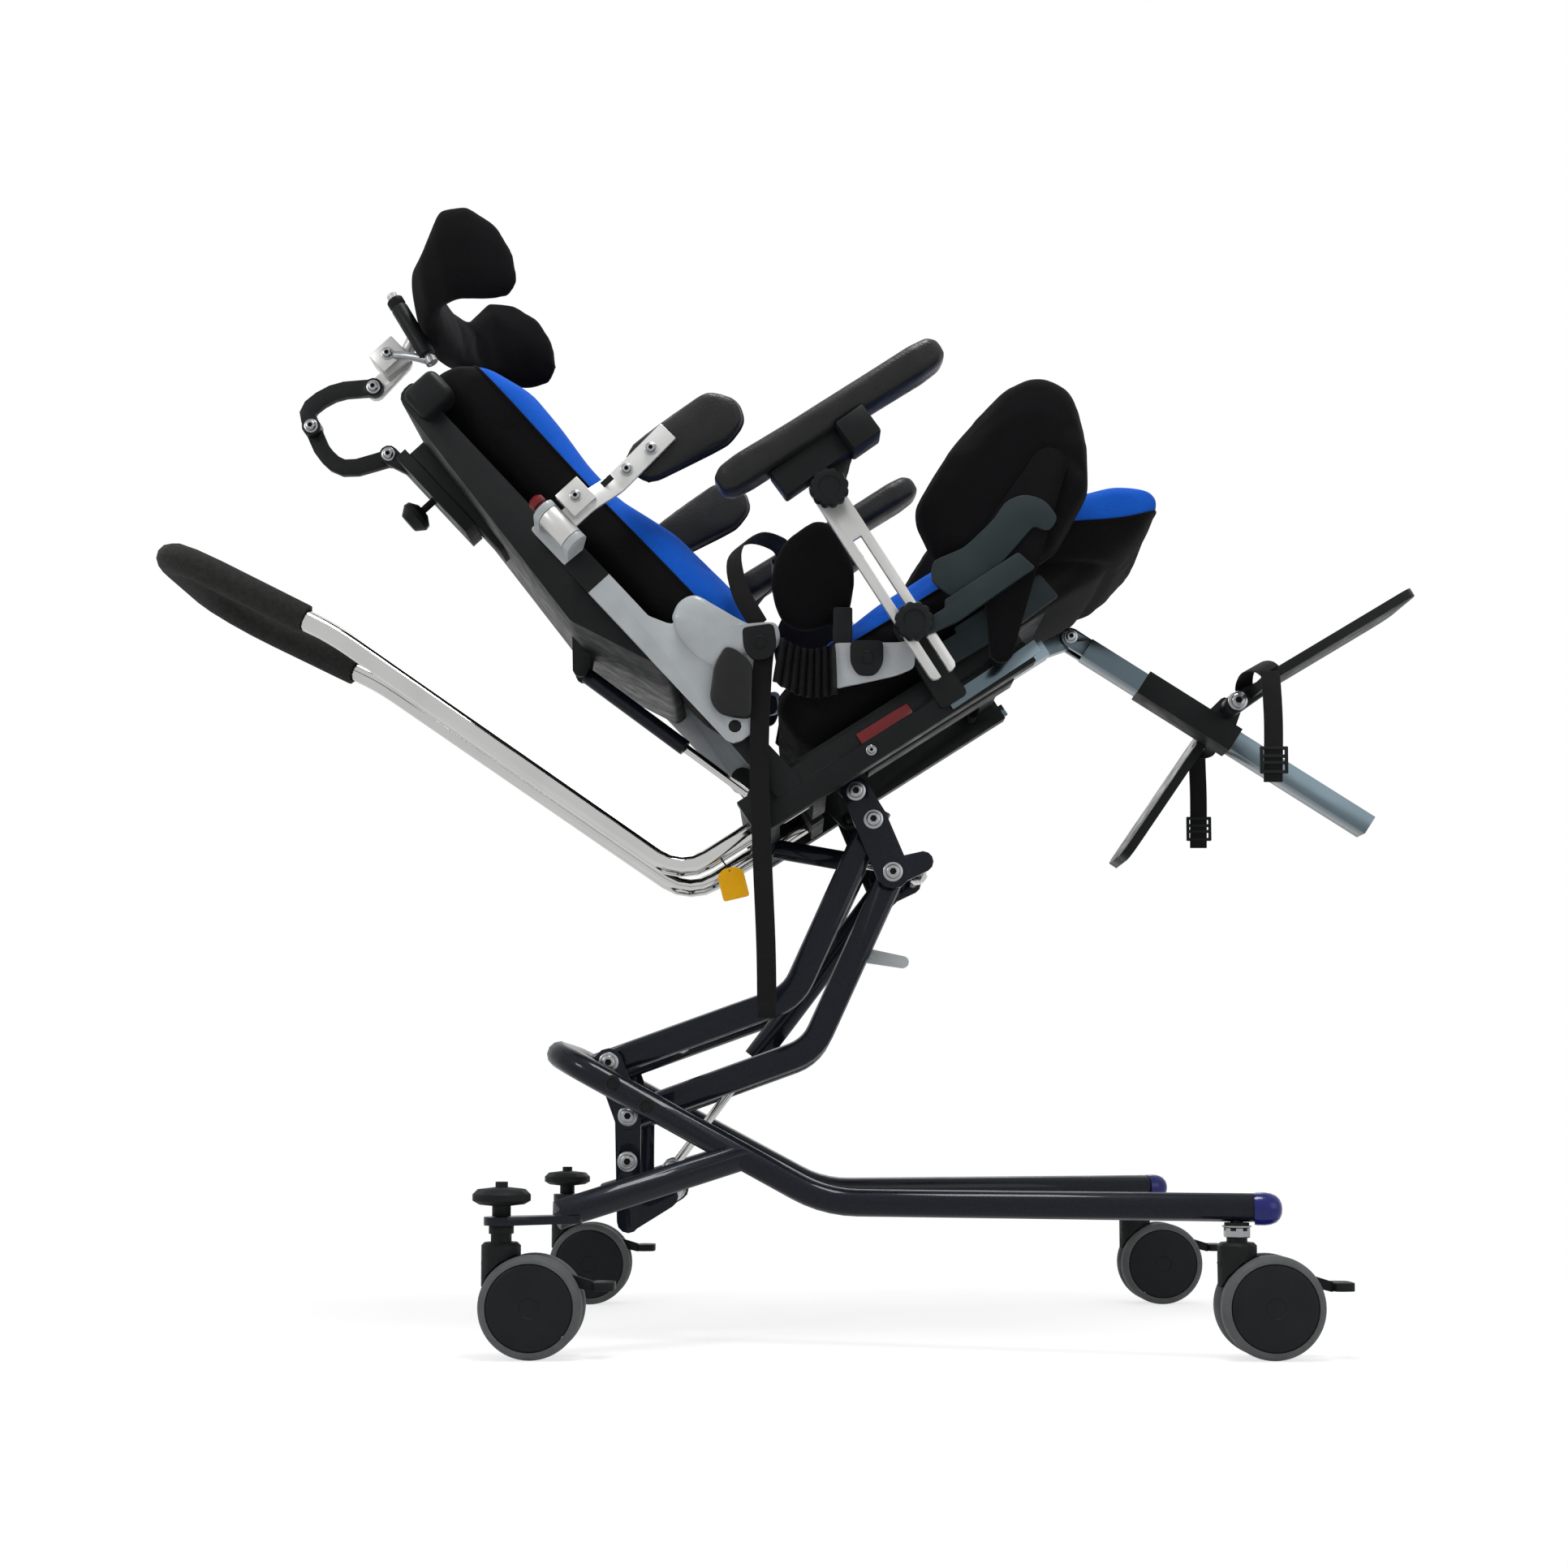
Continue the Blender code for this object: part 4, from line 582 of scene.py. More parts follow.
def webbing_finish(tint):
    """Woven strap: slanting ribs across fine threads."""
    finish = Finish("webbing", tint, 0.8, 0.0, Sheen_Weight=0.04, Specular_IOR_Level=0.12)
    ribs = finish.threads("DIAGONAL", 1000)
    finish.feed("Base Color", finish.shade(finish.math("MULTIPLY", ribs, finish.noise(300, 3)), 0.7, 2.2))
    finish.relief(finish.math("ADD", ribs, finish.threads("Z", 1300)), 0.5, 0.0006)
    return finish.material


FINISH = {}


def make_finishes(tints):
    """Every finish of the chair, by the name of what wears it."""
    FINISH.update({
        "lacquer": lacquer_finish(tints.lacquer),
        "cap": moulded_finish("end_cap", tints.end_cap, 0.22, coat=0.25),
        "plastic": moulded_finish("dark_plastic", tints.plastic, 0.48),
        "slate": moulded_finish("slate_plastic", tints.slate, 0.55, 800),
        "caster": moulded_finish("caster_plastic", tints.plastic, 0.55, 700),
        "hub": moulded_finish("hub_plastic", tints.hub, 0.5, 1200),
        "silver": moulded_finish("silver_plastic", tints.silver, 0.38, 700, 0.2, 1.15),
        "tyre": tyre_finish(tints.tyre),
        "chrome": plated_finish("chrome", tints.chrome, 0.10),
        "zinc": plated_finish("zinc_plate", tints.zinc, 0.24),
        "steel": plated_finish("bolt_steel", tints.steel, 0.30),
        "aluminium": plated_finish("brushed_aluminium", tints.aluminium, 0.34, 0.12, (1, 14, 1), 0.55),
        "cloth": cloth_finish("black_fabric", tints.black_cloth),
        "cover": panel_finish("two_tone_cover", tints.blue_cloth, tints.black_cloth),
        "vinyl": vinyl_finish(tints.vinyl),
        "foam": foam_finish(tints.foam),
        "webbing": webbing_finish(tints.webbing),
        "red": moulded_finish("red_plastic", tints.red, 0.30, 900, 0.4),
        "yellow": moulded_finish("yellow_plastic", tints.yellow, 0.45, 900, 0.1, 1.1),
    })


# Upholstery

BACK_SEAM = 0.064                # height of the sewn edge over the hip axis, along the back's normal
SEAT_SEAM = 0.012                # the same on the seat
NOSE_DIP = 0.050                 # how far the seat's sewn edge falls at the nose
DIP_FROM = 0.36                  # where it starts to fall, along the seat
DIP_LENGTH = 0.14
NOSE_SEAM = Vector((0, 0, 1))    # normal of the level seam across the nose
NOSE_NOTCH = (0.4387, 0, -0.0704)
THIGH_COVER = 0.006              # plate standing out of the thigh pads
THIGH_THICK = 0.036
HEAD_TURN = 0.055                # how far the headrest is turned, as a slope
PAD_FRAMES = 16                  # steps of the filling simulation
PAD_ANGLE = math.radians(80)     # soft shading of padded pieces and their seams
BACK_CHANNEL = 0.285             # height of the sewn channel across the back
CUSHION_SWELL = 0.006            # how far a filled cover may swell
PAD_SWELL = 0.003
HEAD_SWELL = 0.004


def back_seam(point):
    """Height of a point over the back's sewn edge."""
    return (point - HIP).dot(BACK_OUT) - BACK_SEAM


def seat_seam(point):
    """Height of a point over the seat's sewn edge, which dips round the nose."""
    share = ((point - HIP).dot(SEAT_ALONG) - DIP_FROM) / DIP_LENGTH
    share = min(1, max(0, share))
    return (point - HIP).dot(SEAT_UP) - SEAT_SEAM + NOSE_DIP * share * share * (3 - 2 * share)


def mark_crown(piece, height):
    """Keep each point's height over the sewn edge, for the cover's two colours."""
    values = [height(vertex.co) for vertex in piece.data.vertices]
    layer = piece.data.attributes.new("crown", "FLOAT", "POINT")
    layer.data.foreach_set("value", values)


def fill(piece, limit, pressure=4.0):
    """Swell a closed cover with air pressure as cloth, no point moving further than the limit."""
    rest = [vertex.co.copy() for vertex in piece.data.vertices]
    cloth = piece.modifiers.new("Filling", "CLOTH")
    cloth.settings.quality = 4
    cloth.settings.use_pressure = True
    cloth.settings.uniform_pressure_force = pressure
    cloth.settings.tension_stiffness = 30
    cloth.settings.compression_stiffness = 30
    cloth.settings.bending_stiffness = 2
    cloth.settings.effector_weights.gravity = 0
    cloth.collision_settings.use_collision = False
    cloth.point_cache.frame_end = PAD_FRAMES
    scene = bpy.context.scene
    for number in range(1, PAD_FRAMES + 1):
        scene.frame_set(number)
    pick(piece)
    bpy.ops.object.modifier_apply(modifier=cloth.name)
    scene.frame_set(1)
    for vertex, start in zip(piece.data.vertices, rest):
        move = vertex.co - start
        if move.length > limit:
            vertex.co = start + move.normalized() * limit


def shrink(piece, depth):
    """Draw a closed form in along its normals, so that it can swell again."""
    normals = [vertex.normal.copy() for vertex in piece.data.vertices]
    for vertex, normal in zip(piece.data.vertices, normals):
        vertex.co -= normal * depth


def slice_node(node, name, near, far, side):
    """The part of a CAD node between two distances from the middle, closed at the cuts."""
    piece = shell_copy(node, name)
    for distance, keep_outer in ((near, True), (far, False)):
        edit(piece)
        bpy.ops.mesh.bisect(plane_co=(0, side * distance, 0), plane_no=(0, side, 0), use_fill=True,
                            clear_inner=keep_outer, clear_outer=not keep_outer)
        leave()
    fix_normals(piece)
    return piece


def pad_from(node, name, voxel, swell, piece=None, easing=8):
    """Padded cover in the space of a soft CAD solid, or of a part of it."""
    piece = piece or shell_copy(node, name)
    modify(piece, "REMESH", mode="VOXEL", voxel_size=voxel)
    modify(piece, "SMOOTH", factor=0.5, iterations=easing)
    if swell:
        shrink(piece, swell * 0.8)
        fill(piece, swell)
        modify(piece, "SMOOTH", factor=0.4, iterations=3)
    modify(piece, "SUBSURF", levels=1, render_levels=1)
    smooth(piece, PAD_ANGLE)
    return piece


def seam_loops(piece, height, normal):
    """The closed lines where the height over a sewn edge is nothing, as lists of points in order."""
    twin = bpy.data.objects.new("seam_guide", piece.data.copy())
    bpy.context.collection.objects.link(twin)
    for vertex in twin.data.vertices:
        bend = height(vertex.co) - vertex.co.dot(normal)
        vertex.co += normal * bend
    edit(twin)
    bpy.ops.mesh.bisect(plane_co=(0, 0, 0), plane_no=normal, clear_inner=True, clear_outer=True)
    leave()
    for vertex in twin.data.vertices:
        vertex.co -= normal * height(vertex.co)
    links = {}
    for edge in twin.data.edges:
        a, b = edge.vertices
        links.setdefault(a, []).append(b)
        links.setdefault(b, []).append(a)
    places = [vertex.co.copy() for vertex in twin.data.vertices]
    bpy.data.objects.remove(twin)
    loops = []
    while links:
        start = next(iter(links))
        loop = [start]
        while True:
            onward = [n for n in links.pop(loop[-1], []) if n in links]
            if not onward:
                break
            loop.append(onward[0])
        if len(loop) > 12:
            loops.append([places[n] for n in loop])
    return loops


def piping(name, piece, height, normal, radius, finish):
    """Sewn cord along the line where a padded piece's height over its sewn edge is nothing."""
    tubes = []
    for number, loop in enumerate(seam_loops(piece, height, normal)):
        step = max(1, len(loop) // 90)
        tube = cord_tube(f"{name}.{number}", loop[::step], radius, 1, closed=True)
        smooth(tube, PAD_ANGLE)
        paint(tube, finish)
        tubes.append(tube)
    return tubes


def crease(piece, point, normal, depth, width, start=None):
    """Press a sewn channel into a padded piece along a plane, beyond a start along the seat if given."""
    normals = [vertex.normal.copy() for vertex in piece.data.vertices]
    for vertex, outward in zip(piece.data.vertices, normals):
        if start and (vertex.co - HIP).dot(SEAT_ALONG) < start:
            continue
        reach = (vertex.co - point).dot(normal) / width
        vertex.co -= outward * depth * math.exp(-reach * reach)


class CHAIR_OT_cushions(bpy.types.Operator):
    """Seat and back cushions with blue crowns, black sides and piped seams"""
    bl_idname = "chair.cushions"
    bl_label = "Cushions"

    def execute(self, context):
        sizes = context.scene.chair_sizes
        self.cushion("back", back_seam, BACK_OUT, sizes,
                     (on_back(0, 0, BACK_CHANNEL), BACK_UP, 0.0035, 0.006))
        self.cushion("seat", seat_seam, SEAT_UP, sizes,
                     (on_seat(*NOSE_NOTCH), NOSE_SEAM, 0.007, 0.005, DIP_FROM))
        return {"FINISHED"}

    def cushion(self, body, seam, normal, sizes, channel):
        """Cushion of the seat or the back, with a channel given as crease takes it."""
        name = f"{body}_upholstery"
        piece = pad_from(f"{body}_cushion", name, sizes.voxel, CUSHION_SWELL)
        crease(piece, *channel)
        mark_crown(piece, seam)
        paint(piece, FINISH["cover"])
        seams = piping(f"{body}_seam", piece, seam, normal, sizes.piping, FINISH["cloth"])
        piece = join(name, [piece] + seams)
        settle(piece, body, "black_fabric", f"{body}_cushion")


class CHAIR_OT_side_pads(bpy.types.Operator):
    """Thigh, lateral and arm pads and the headrest"""
    bl_idname = "chair.side_pads"
    bl_label = "Side pads and headrest"

    def execute(self, context):
        sizes = context.scene.chair_sizes
        for hand, side in HANDS:
            self.thigh(hand, side, sizes)
            self.lateral(hand, sizes)
            node = f"{hand}_armrest_pad"
            pad = pad_from(node, f"{node}_cover", sizes.voxel * 0.5, 0)
            paint(pad, FINISH["vinyl"])
            settle(pad, f"{hand}_armrest", "black_vinyl", node)
        head = shell_copy("head_pad", "headrest_cover")
        far_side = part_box("head_pad")[1].y
        for vertex in head.data.vertices:
            vertex.co.x += (vertex.co.y - far_side) * HEAD_TURN
        head = pad_from("head_pad", "headrest_cover", sizes.voxel * 0.6, HEAD_SWELL, head, easing=26)
        paint(head, FINISH["cloth"])
        settle(head, "head", "black_fabric", "head_pad")
        return {"FINISHED"}

    def sewn(self, pad, name, middle, finish, radius):
        """The pad with a cord sewn round its middle."""
        paint(pad, FINISH[finish])
        cords = piping(f"{name}_seam", pad, lambda point: point.y - middle, SIDEWAYS, radius,
                       FINISH["webbing"])
        return join(name, [pad] + cords)

    def thigh(self, hand, side, sizes):
        node = f"{hand}_thigh_pad"
        outer = outer_face(node)
        name = f"{node}_cover"
        inner = outer - THIGH_COVER - THIGH_THICK
        pad = slice_node(node, name, inner, outer - THIGH_COVER, side)
        pad = pad_from(node, name, sizes.voxel * 0.75, PAD_SWELL, pad)
        middle = side * (outer - THIGH_COVER - THIGH_THICK / 2)
        pad = self.sewn(pad, name, middle, "cloth", sizes.piping * 0.8)
        settle(pad, f"{hand}_thigh_guide", "black_fabric", node)
        plate = slice_node(node, f"{hand}_thigh_plate", outer - THIGH_COVER + 0.0004, outer + 0.01, side)
        rod = slice_node(node, "rod", 0.05, inner + 0.002, side)
        plate = join(f"{hand}_thigh_plate", [plate, rod])
        soften(plate, sizes.edge)
        dress(plate, "cloth", f"{hand}_thigh_guide", "dark_plastic")

    def lateral(self, hand, sizes):
        node = f"{hand}_lateral_pad"
        low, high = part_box(node)
        pad = pad_from(node, f"{node}_cover", sizes.voxel * 0.6, PAD_SWELL)
        pad = self.sewn(pad, f"{node}_cover", (low.y + high.y) / 2, "vinyl", sizes.piping * 0.8)
        settle(pad, f"{hand}_lateral", "black_vinyl", node)


# Rigid parts that keep their CAD form

SLOT_OF = {row["node"]: row["material_slot"] for row in frame["record"]["subparts"]}
SOFT_NODES = ("seat_cushion", "back_cushion", "hip_strap", "head_pad", "thigh_pad", "lateral_pad",
              "armrest_pad")
MADE_ELSEWHERE = ("_wheels", "_lower_knob", "_upper_knob", "_side_rail")
SLOT_FINISH = {
    "frame_lacquer": "lacquer", "caster_plastic": "caster", "dark_plastic": "plastic", "chrome": "chrome",
    "aluminium": "aluminium", "silver_plastic": "silver", "foam": "foam", "red_plastic": "red",
}
NODE_FINISH = {
    "push_tube": ("chrome", "chrome"), "leg_extension": ("zinc", "chrome"), "leg_rail": ("zinc", "chrome"),
    "headrest_lower_link": ("plastic", "dark_plastic"), "headrest_upper_link": ("plastic", "dark_plastic"),
    "headrest_bracket": ("plastic", "dark_plastic"), "seat_frame": ("plastic", "dark_plastic"),
    "right_lateral_arm": ("aluminium", "aluminium"), "left_lateral_arm": ("aluminium", "aluminium"),
}


def is_soft(node):
    return any(word in node for word in SOFT_NODES)


class CHAIR_OT_frame_parts(bpy.types.Operator):
    """Tubes, plates, levers and housings: smooth shading, eased edges and their finishes"""
    bl_idname = "chair.frame_parts"
    bl_label = "Frame and fittings"

    def execute(self, context):
        edge = context.scene.chair_sizes.edge
        for node in sorted(NODES):
            if is_soft(node) or node.endswith(MADE_ELSEWHERE):
                continue
            finish, slot = NODE_FINISH.get(node, (SLOT_FINISH.get(SLOT_OF[node]), SLOT_OF[node]))
            piece = shell_copy(node, f"{node}_finished")
            soften(piece, edge)
            dress(piece, finish, BODY_OF[node], slot, node)
        return {"FINISHED"}


# Casters

WHEEL_WIDE = 0.018               # width of one wheel of a pair
HUB_SHARE = 0.84                 # hub disc, as a share of the wheel's radius
AXLE_RADIUS = 0.0055


class CHAIR_OT_wheels(bpy.types.Operator):
    """Twin caster wheels: rounded grey treads, dished dark hub discs and their axle"""
    bl_idname = "chair.wheels"
    bl_label = "Wheels"

    def execute(self, context):
        for end in ("front", "rear"):
            for hand, _ in HANDS:
                self.wheel_pair(f"{end}_{hand}")
        return {"FINISHED"}

    def wheel_pair(self, key):
        low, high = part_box(f"{key}_wheels")
        centre = spot(f"{key}_roll")
        radius = centre.z - low.z
        outer = (high.y - low.y) / 2
        inner = outer - WHEEL_WIDE
        hub = radius * HUB_SHARE
        pieces = []
        for side in (-1, 1):
            turn = side_turn(side)
            tread = lathe("tread", [(hub, inner), (radius - 0.004, inner), (radius - 0.0012, inner + 0.0015),
                                    (radius, inner + 0.004), (radius, outer - 0.0075),
                                    (radius - 0.001, outer - 0.0045), (radius - 0.0035, outer - 0.0018),
                                    (radius - 0.006, outer - 0.0006), (hub + 0.0004, outer - 0.0006),
                                    (hub, outer - 0.0022), (hub, inner)], 64, cap=False)
            disc = lathe("disc", [(0.008, inner + 0.003), (hub - 0.0004, inner + 0.003),
                                  (hub - 0.0004, outer - 0.0016), (hub - 0.0012, outer - 0.0008),
                                  (hub - 0.003, outer - 0.0005), (hub * 0.55, outer - 0.0001),
                                  (hub * 0.24, outer - 0.0001), (hub * 0.22, outer - 0.0009),
                                  (hub * 0.10, outer - 0.0009)], 64)
            for piece, finish in ((tread, "tyre"), (disc, "hub")):
                paint(piece, FINISH[finish])
                smooth(piece)
                place(piece, turn, centre)
                pieces.append(piece)
        axle = lathe("axle", [(AXLE_RADIUS, -inner - 0.004), (AXLE_RADIUS, inner + 0.004)], 24)
        smooth(axle)
        paint(axle, FINISH["steel"])
        place(axle, side_turn(1), centre)
        settle(join(f"{key}_wheels_finished", pieces + [axle]), f"{key}_wheel_pair", "tyre_rubber",
               f"{key}_wheels")


# Bolts, nuts, caps, and dark plugs that paint the shade of the tube's holes

STEM_NUT_Z = 0.1145              # underside of the nuts on the front stems
# X and Z of the holes in the base tube, where dark plugs are painted as the shade inside them
HOLE_SHADE_PLACES = ((-0.161, 0.264), (-0.126, 0.241))
MAST_BOLT = (-0.1482, 0, 0.1825)
TUBE_END = 0.012                 # length at the front of the base tube that its end caps are centred on
END_CAP = ((0.0138, -0.0015), (0.0153, -0.0015), (0.0157, 0.0010), (0.0157, 0.0080), (0.0149, 0.0135),
           (0.0128, 0.0185), (0.0095, 0.0218), (0.0050, 0.0238), (0.0012, 0.0242))     # radius and height
STEM_NUT = ((0.0122, 0.0), (0.0130, 0.0009), (0.0130, 0.0091), (0.0122, 0.0100))
STEM_COLLAR = ((0.0138, 0.0100), (0.0138, 0.0114), (0.0090, 0.0126))
HOLE_SHADE_PROFILE = ((0.0082, -0.0012), (0.0082, 0.0008), (0.0074, 0.0020), (0.0050, 0.0026), (0.0044, 0.0018),
             (0.0010, 0.0016))
SKINS = {}


def skin(node):
    """Search tree of a CAD node's faces."""
    if node not in SKINS:
        mesh = NODES[node].data
        SKINS[node] = BVHTree.FromPolygons([vertex.co for vertex in mesh.vertices],
                                           [face.vertices for face in mesh.polygons])
    return SKINS[node]


def face_of(node, point, out):
    """Point on a CAD node's skin, seen from outside along the out direction."""
    start = Vector(point) + Vector(out).normalized()
    return skin(node).ray_cast(start, -Vector(out))[0]


def socket_bolt(name, washer):
    """Washer and button head with a hexagon socket, whose inside is painted dark as its shade, standing on Z 0."""
    head = washer * 0.72
    socket = washer * 0.36
    piece = lathe(name, [(washer, -0.0008), (washer, 0.0010), (washer - 0.0005, 0.0014), (head, 0.0014),
                         (head, 0.0032), (head * 0.92, 0.0043), (head * 0.76, 0.0048), (socket, 0.0048),
                         (socket * 0.96, 0.0022)], 24)
    for vertex in piece.data.vertices:
        around = math.atan2(vertex.co.y, vertex.co.x) % math.radians(60) - math.radians(30)
        if vertex.co.xy.length < socket * 1.05:
            vertex.co.xy *= math.cos(math.radians(30)) / math.cos(around)
    smooth(piece)
    paint(piece, FINISH["steel"])
    # The faces inside the hexagon socket take dark plastic: painted shade in the recess.
    piece.data.materials.append(FINISH["plastic"])
    for face in piece.data.polygons:
        if face.center.xy.length < socket and face.center.z < 0.0047:
            face.material_index = 1
    return piece


def side_bolts(name, body, washer, rows):
    """Socket bolts on the outer faces of CAD nodes: rows of node, place and side."""
    moves = []
    for node, place_at, side in rows:
        out = Vector((0, side, 0))
        found = face_of(node, place_at, out)
        if found:
            moves.append((side_turn(side), found))
    piece = join(name, copies(socket_bolt(name, washer), moves))
    return settle(piece, body, SLOT_OF[rows[0][0]])


class CHAIR_OT_bolts(bpy.types.Operator):
    """Socket bolts and washers at the pivots, nuts at the stems, end caps, and dark plugs on the tubes painted as
    the shade of their holes
    """
    bl_idname = "chair.bolts"
    bl_label = "Bolts and caps"

    def execute(self, context):
        sizes = context.scene.chair_sizes
        self.pivots(sizes.washer, sizes.bolt)
        self.caps()
        self.nuts()
        self.hole_shades()
        return {"FINISHED"}

    def pivots(self, large, small):
        both = (-1, 1)
        pins = [spot(joint) for joint in ("lift", "upper_arm_turn", "lift_spring_turn")]
        side_bolts("base_bolts", "base", large,
                   [("pivot_frame", pin, side) for pin in pins + [Vector(MAST_BOLT)] for side in both])
        upper_pin = spot("carrier_turn") + spot("upper_arm_turn") - spot("lift")
        side_bolts("carrier_bolts", "carrier", large, [
            ("carrier", place_at, side) for place_at in (spot("carrier_turn"), upper_pin, spot("tilt"))
            for side in both])
        for joint, body, node in (("lower_link_turn", "headrest_slider", "headrest_bracket"),
                                  ("upper_link_turn", "lower_link", "headrest_lower_link"),
                                  ("head_turn", "upper_link", "headrest_upper_link")):
            side_bolts(f"{body}_bolts", body, small, [(node, spot(joint), side) for side in both])
        side_bolts("leg_hinge_bolts", "leg_extension", small,
                   [("leg_extension", spot("leg_angle"), side) for side in both])
        side_bolts("foot_hinge_bolts", "foot_clamp", large,
                   [("foot_clamp", spot("right_foot_fold"), side) for side in both])

    def caps(self):
        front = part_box("base_tube")[1].x
        for hand, side in HANDS:
            stem = spot(f"front_{hand}_swivel")
            ends = [v.co for v in NODES["base_tube"].data.vertices
                    if v.co.x > front - TUBE_END and v.co.y * side > 0]
            middle = sum(ends, Vector()) / len(ends)
            along = middle - Vector((stem.x, stem.y, middle.z))
            along.z = 0
            cap = lathe(f"{hand}_end_cap", END_CAP, 40)
            smooth(cap)
            paint(cap, FINISH["cap"])
            place(cap, turn_to(along, (0, 0, 1)), middle)
            settle(cap, "base", "caster_plastic")

    def nuts(self):
        for hand, _ in HANDS:
            stem = spot(f"front_{hand}_swivel")
            nut = lathe(f"front_{hand}_nut", STEM_NUT, 6)
            soften(nut, 0.0004)
            smooth(nut, math.radians(25))
            collar = lathe("collar", STEM_COLLAR, 32)
            smooth(collar)
            piece = join(f"front_{hand}_nut", [nut, collar])
            paint(piece, FINISH["steel"])
            place(piece, UNTURNED, (stem.x, stem.y, STEM_NUT_Z))
            settle(piece, "base", "chrome")

    def hole_shades(self):
        moves = []
        for _, side in HANDS:
            out = Vector((0, side, 0))
            for x, z in HOLE_SHADE_PLACES:
                found = face_of("base_tube", (x, 0, z), out)
                if found:
                    moves.append((side_turn(side), found))
        # Dark plastic plugs stand in for the open holes: their dark colour is painted shade.
        hole_shade = lathe("tube_hole_shades", HOLE_SHADE_PROFILE, 28)
        smooth(hole_shade)
        piece = join("tube_hole_shades", copies(hole_shade, moves))
        paint(piece, FINISH["plastic"])
        settle(piece, "base", "dark_plastic")


# Guards along the seat's sides

GUARD_TOP = ((0.066, 0.716), (0.100, 0.7165), (0.136, 0.7165), (0.150, 0.722))
GUARD_LOW = ((0.150, 0.690), (0.131, 0.682), (0.100, 0.675), (0.066, 0.668))
PLEAT_LEFT = ((0.012, 0.722), (0.004, 0.676))     # top and bottom of the bellows
PLEAT_RIGHT = ((0.068, 0.716), (0.070, 0.662))
PLEATS = 8
PLEAT_DEEP = 0.0065
PLEAT_BOW = 0.0035               # how far the bellows stand out halfway up
PLEAT_SAG = 0.010                # how far they hang between their ends
GUARD_Y = 0.1585                 # distance of the front guards and the bellows from the middle
GUARD_THICK = 0.0045
GUARD_FACE = 0.1608              # faces that the strap guides sit on
SHIELD = ((-0.017, 0.017), (0.017, 0.017), (0.017, -0.006), (0.009, -0.019), (-0.009, -0.019),
          (-0.017, -0.006))
SHIELD_THICK = 0.0060
SHIELD_BUTTON = ((0.0070, 0.0), (0.0070, 0.0014), (0.0058, 0.0022), (0.0050, 0.0014), (0.0010, 0.0012))
REAR_SHIELD = (-0.0095, 0.7160, math.radians(8))  # X, Z and lean
FRONT_SHIELD = (0.1004, 0.7000, 0)
INSERT = ((0.1013, -0.0787), (0.1639, -0.0793))   # red insert on the seat rail, along and above the seat
INSERT_SIZE = (0.003, 0.0125)    # thickness and height
SLEEVE = ((0.1991, -0.0980), (0.3096, -0.0962))   # plated leg sleeve that shows beside the rail
SLEEVE_SIZE = (0.005, 0.0150)
RIVET = (0.1057, -0.0954)
RIVET_RADIUS = 0.0055
RAIL_COVER = ((0.214, -0.066), (0.214, -0.040), (0.246, -0.040), (0.246, -0.034), (0.352, -0.034),
              (0.356, -0.064), (0.300, -0.068))
RAIL_COVER_Y = 0.1505
SLATE_THICK = 0.006              # slate brackets and covers
SLATE_EDGE = 0.0014
GUIDE_BLOCK = ((0.2090, -0.0340), (0.2090, -0.0205), (0.2400, -0.0205), (0.2434, -0.0135),
               (0.3329, -0.0120), (0.3390, -0.0346), (0.2432, -0.0390))
HIP_PAD = ((0.0484, 0.8561), (0.0124, 0.8303), (-0.0010, 0.8001), (0.0000, 0.7700), (0.0110, 0.7400),
           (0.0378, 0.7298), (0.0850, 0.7450), (0.0930, 0.8001), (0.0713, 0.8475))
HIP_PAD_Y = 0.1350
HIP_PAD_THICK = 0.024
HIP_STAY = (0.076, 0.7290)       # bar between the hip pad and the front guard, X and Z
HIP_STAY_SIZE = (0.020, 0.014, 0.050)
HIP_STAY_GAP = 0.0050            # from the pad's outer side to the middle of the bar
HOOK = ((0.243, 0.012), (0.252, -0.014), (0.262, -0.022), (0.300, -0.016), (0.352, 0.000), (0.362, 0.003),
        (0.370, -0.010), (0.388, -0.004), (0.386, 0.020), (0.372, 0.036), (0.352, 0.040), (0.330, 0.030),
        (0.290, 0.022), (0.256, 0.028))


def side_plate(name, outline, thick, y, side, bevel=0.0012):
    """Plate standing on edge: an outline in world X and Z at a distance from the middle."""
    piece = outline_plate(name, [(x, z) for x, z in outline], thick, bevel)
    stand = Matrix(((1, 0, 0), (0, 0, -1), (0, 1, 0)))
    place(piece, stand, (0, side * y, 0))
    return piece


def seat_outline(points):
    """World X and Z of points that are given along and above the seat."""
    return [(on_seat(along, 0, up).x, on_seat(along, 0, up).z) for along, up in points]


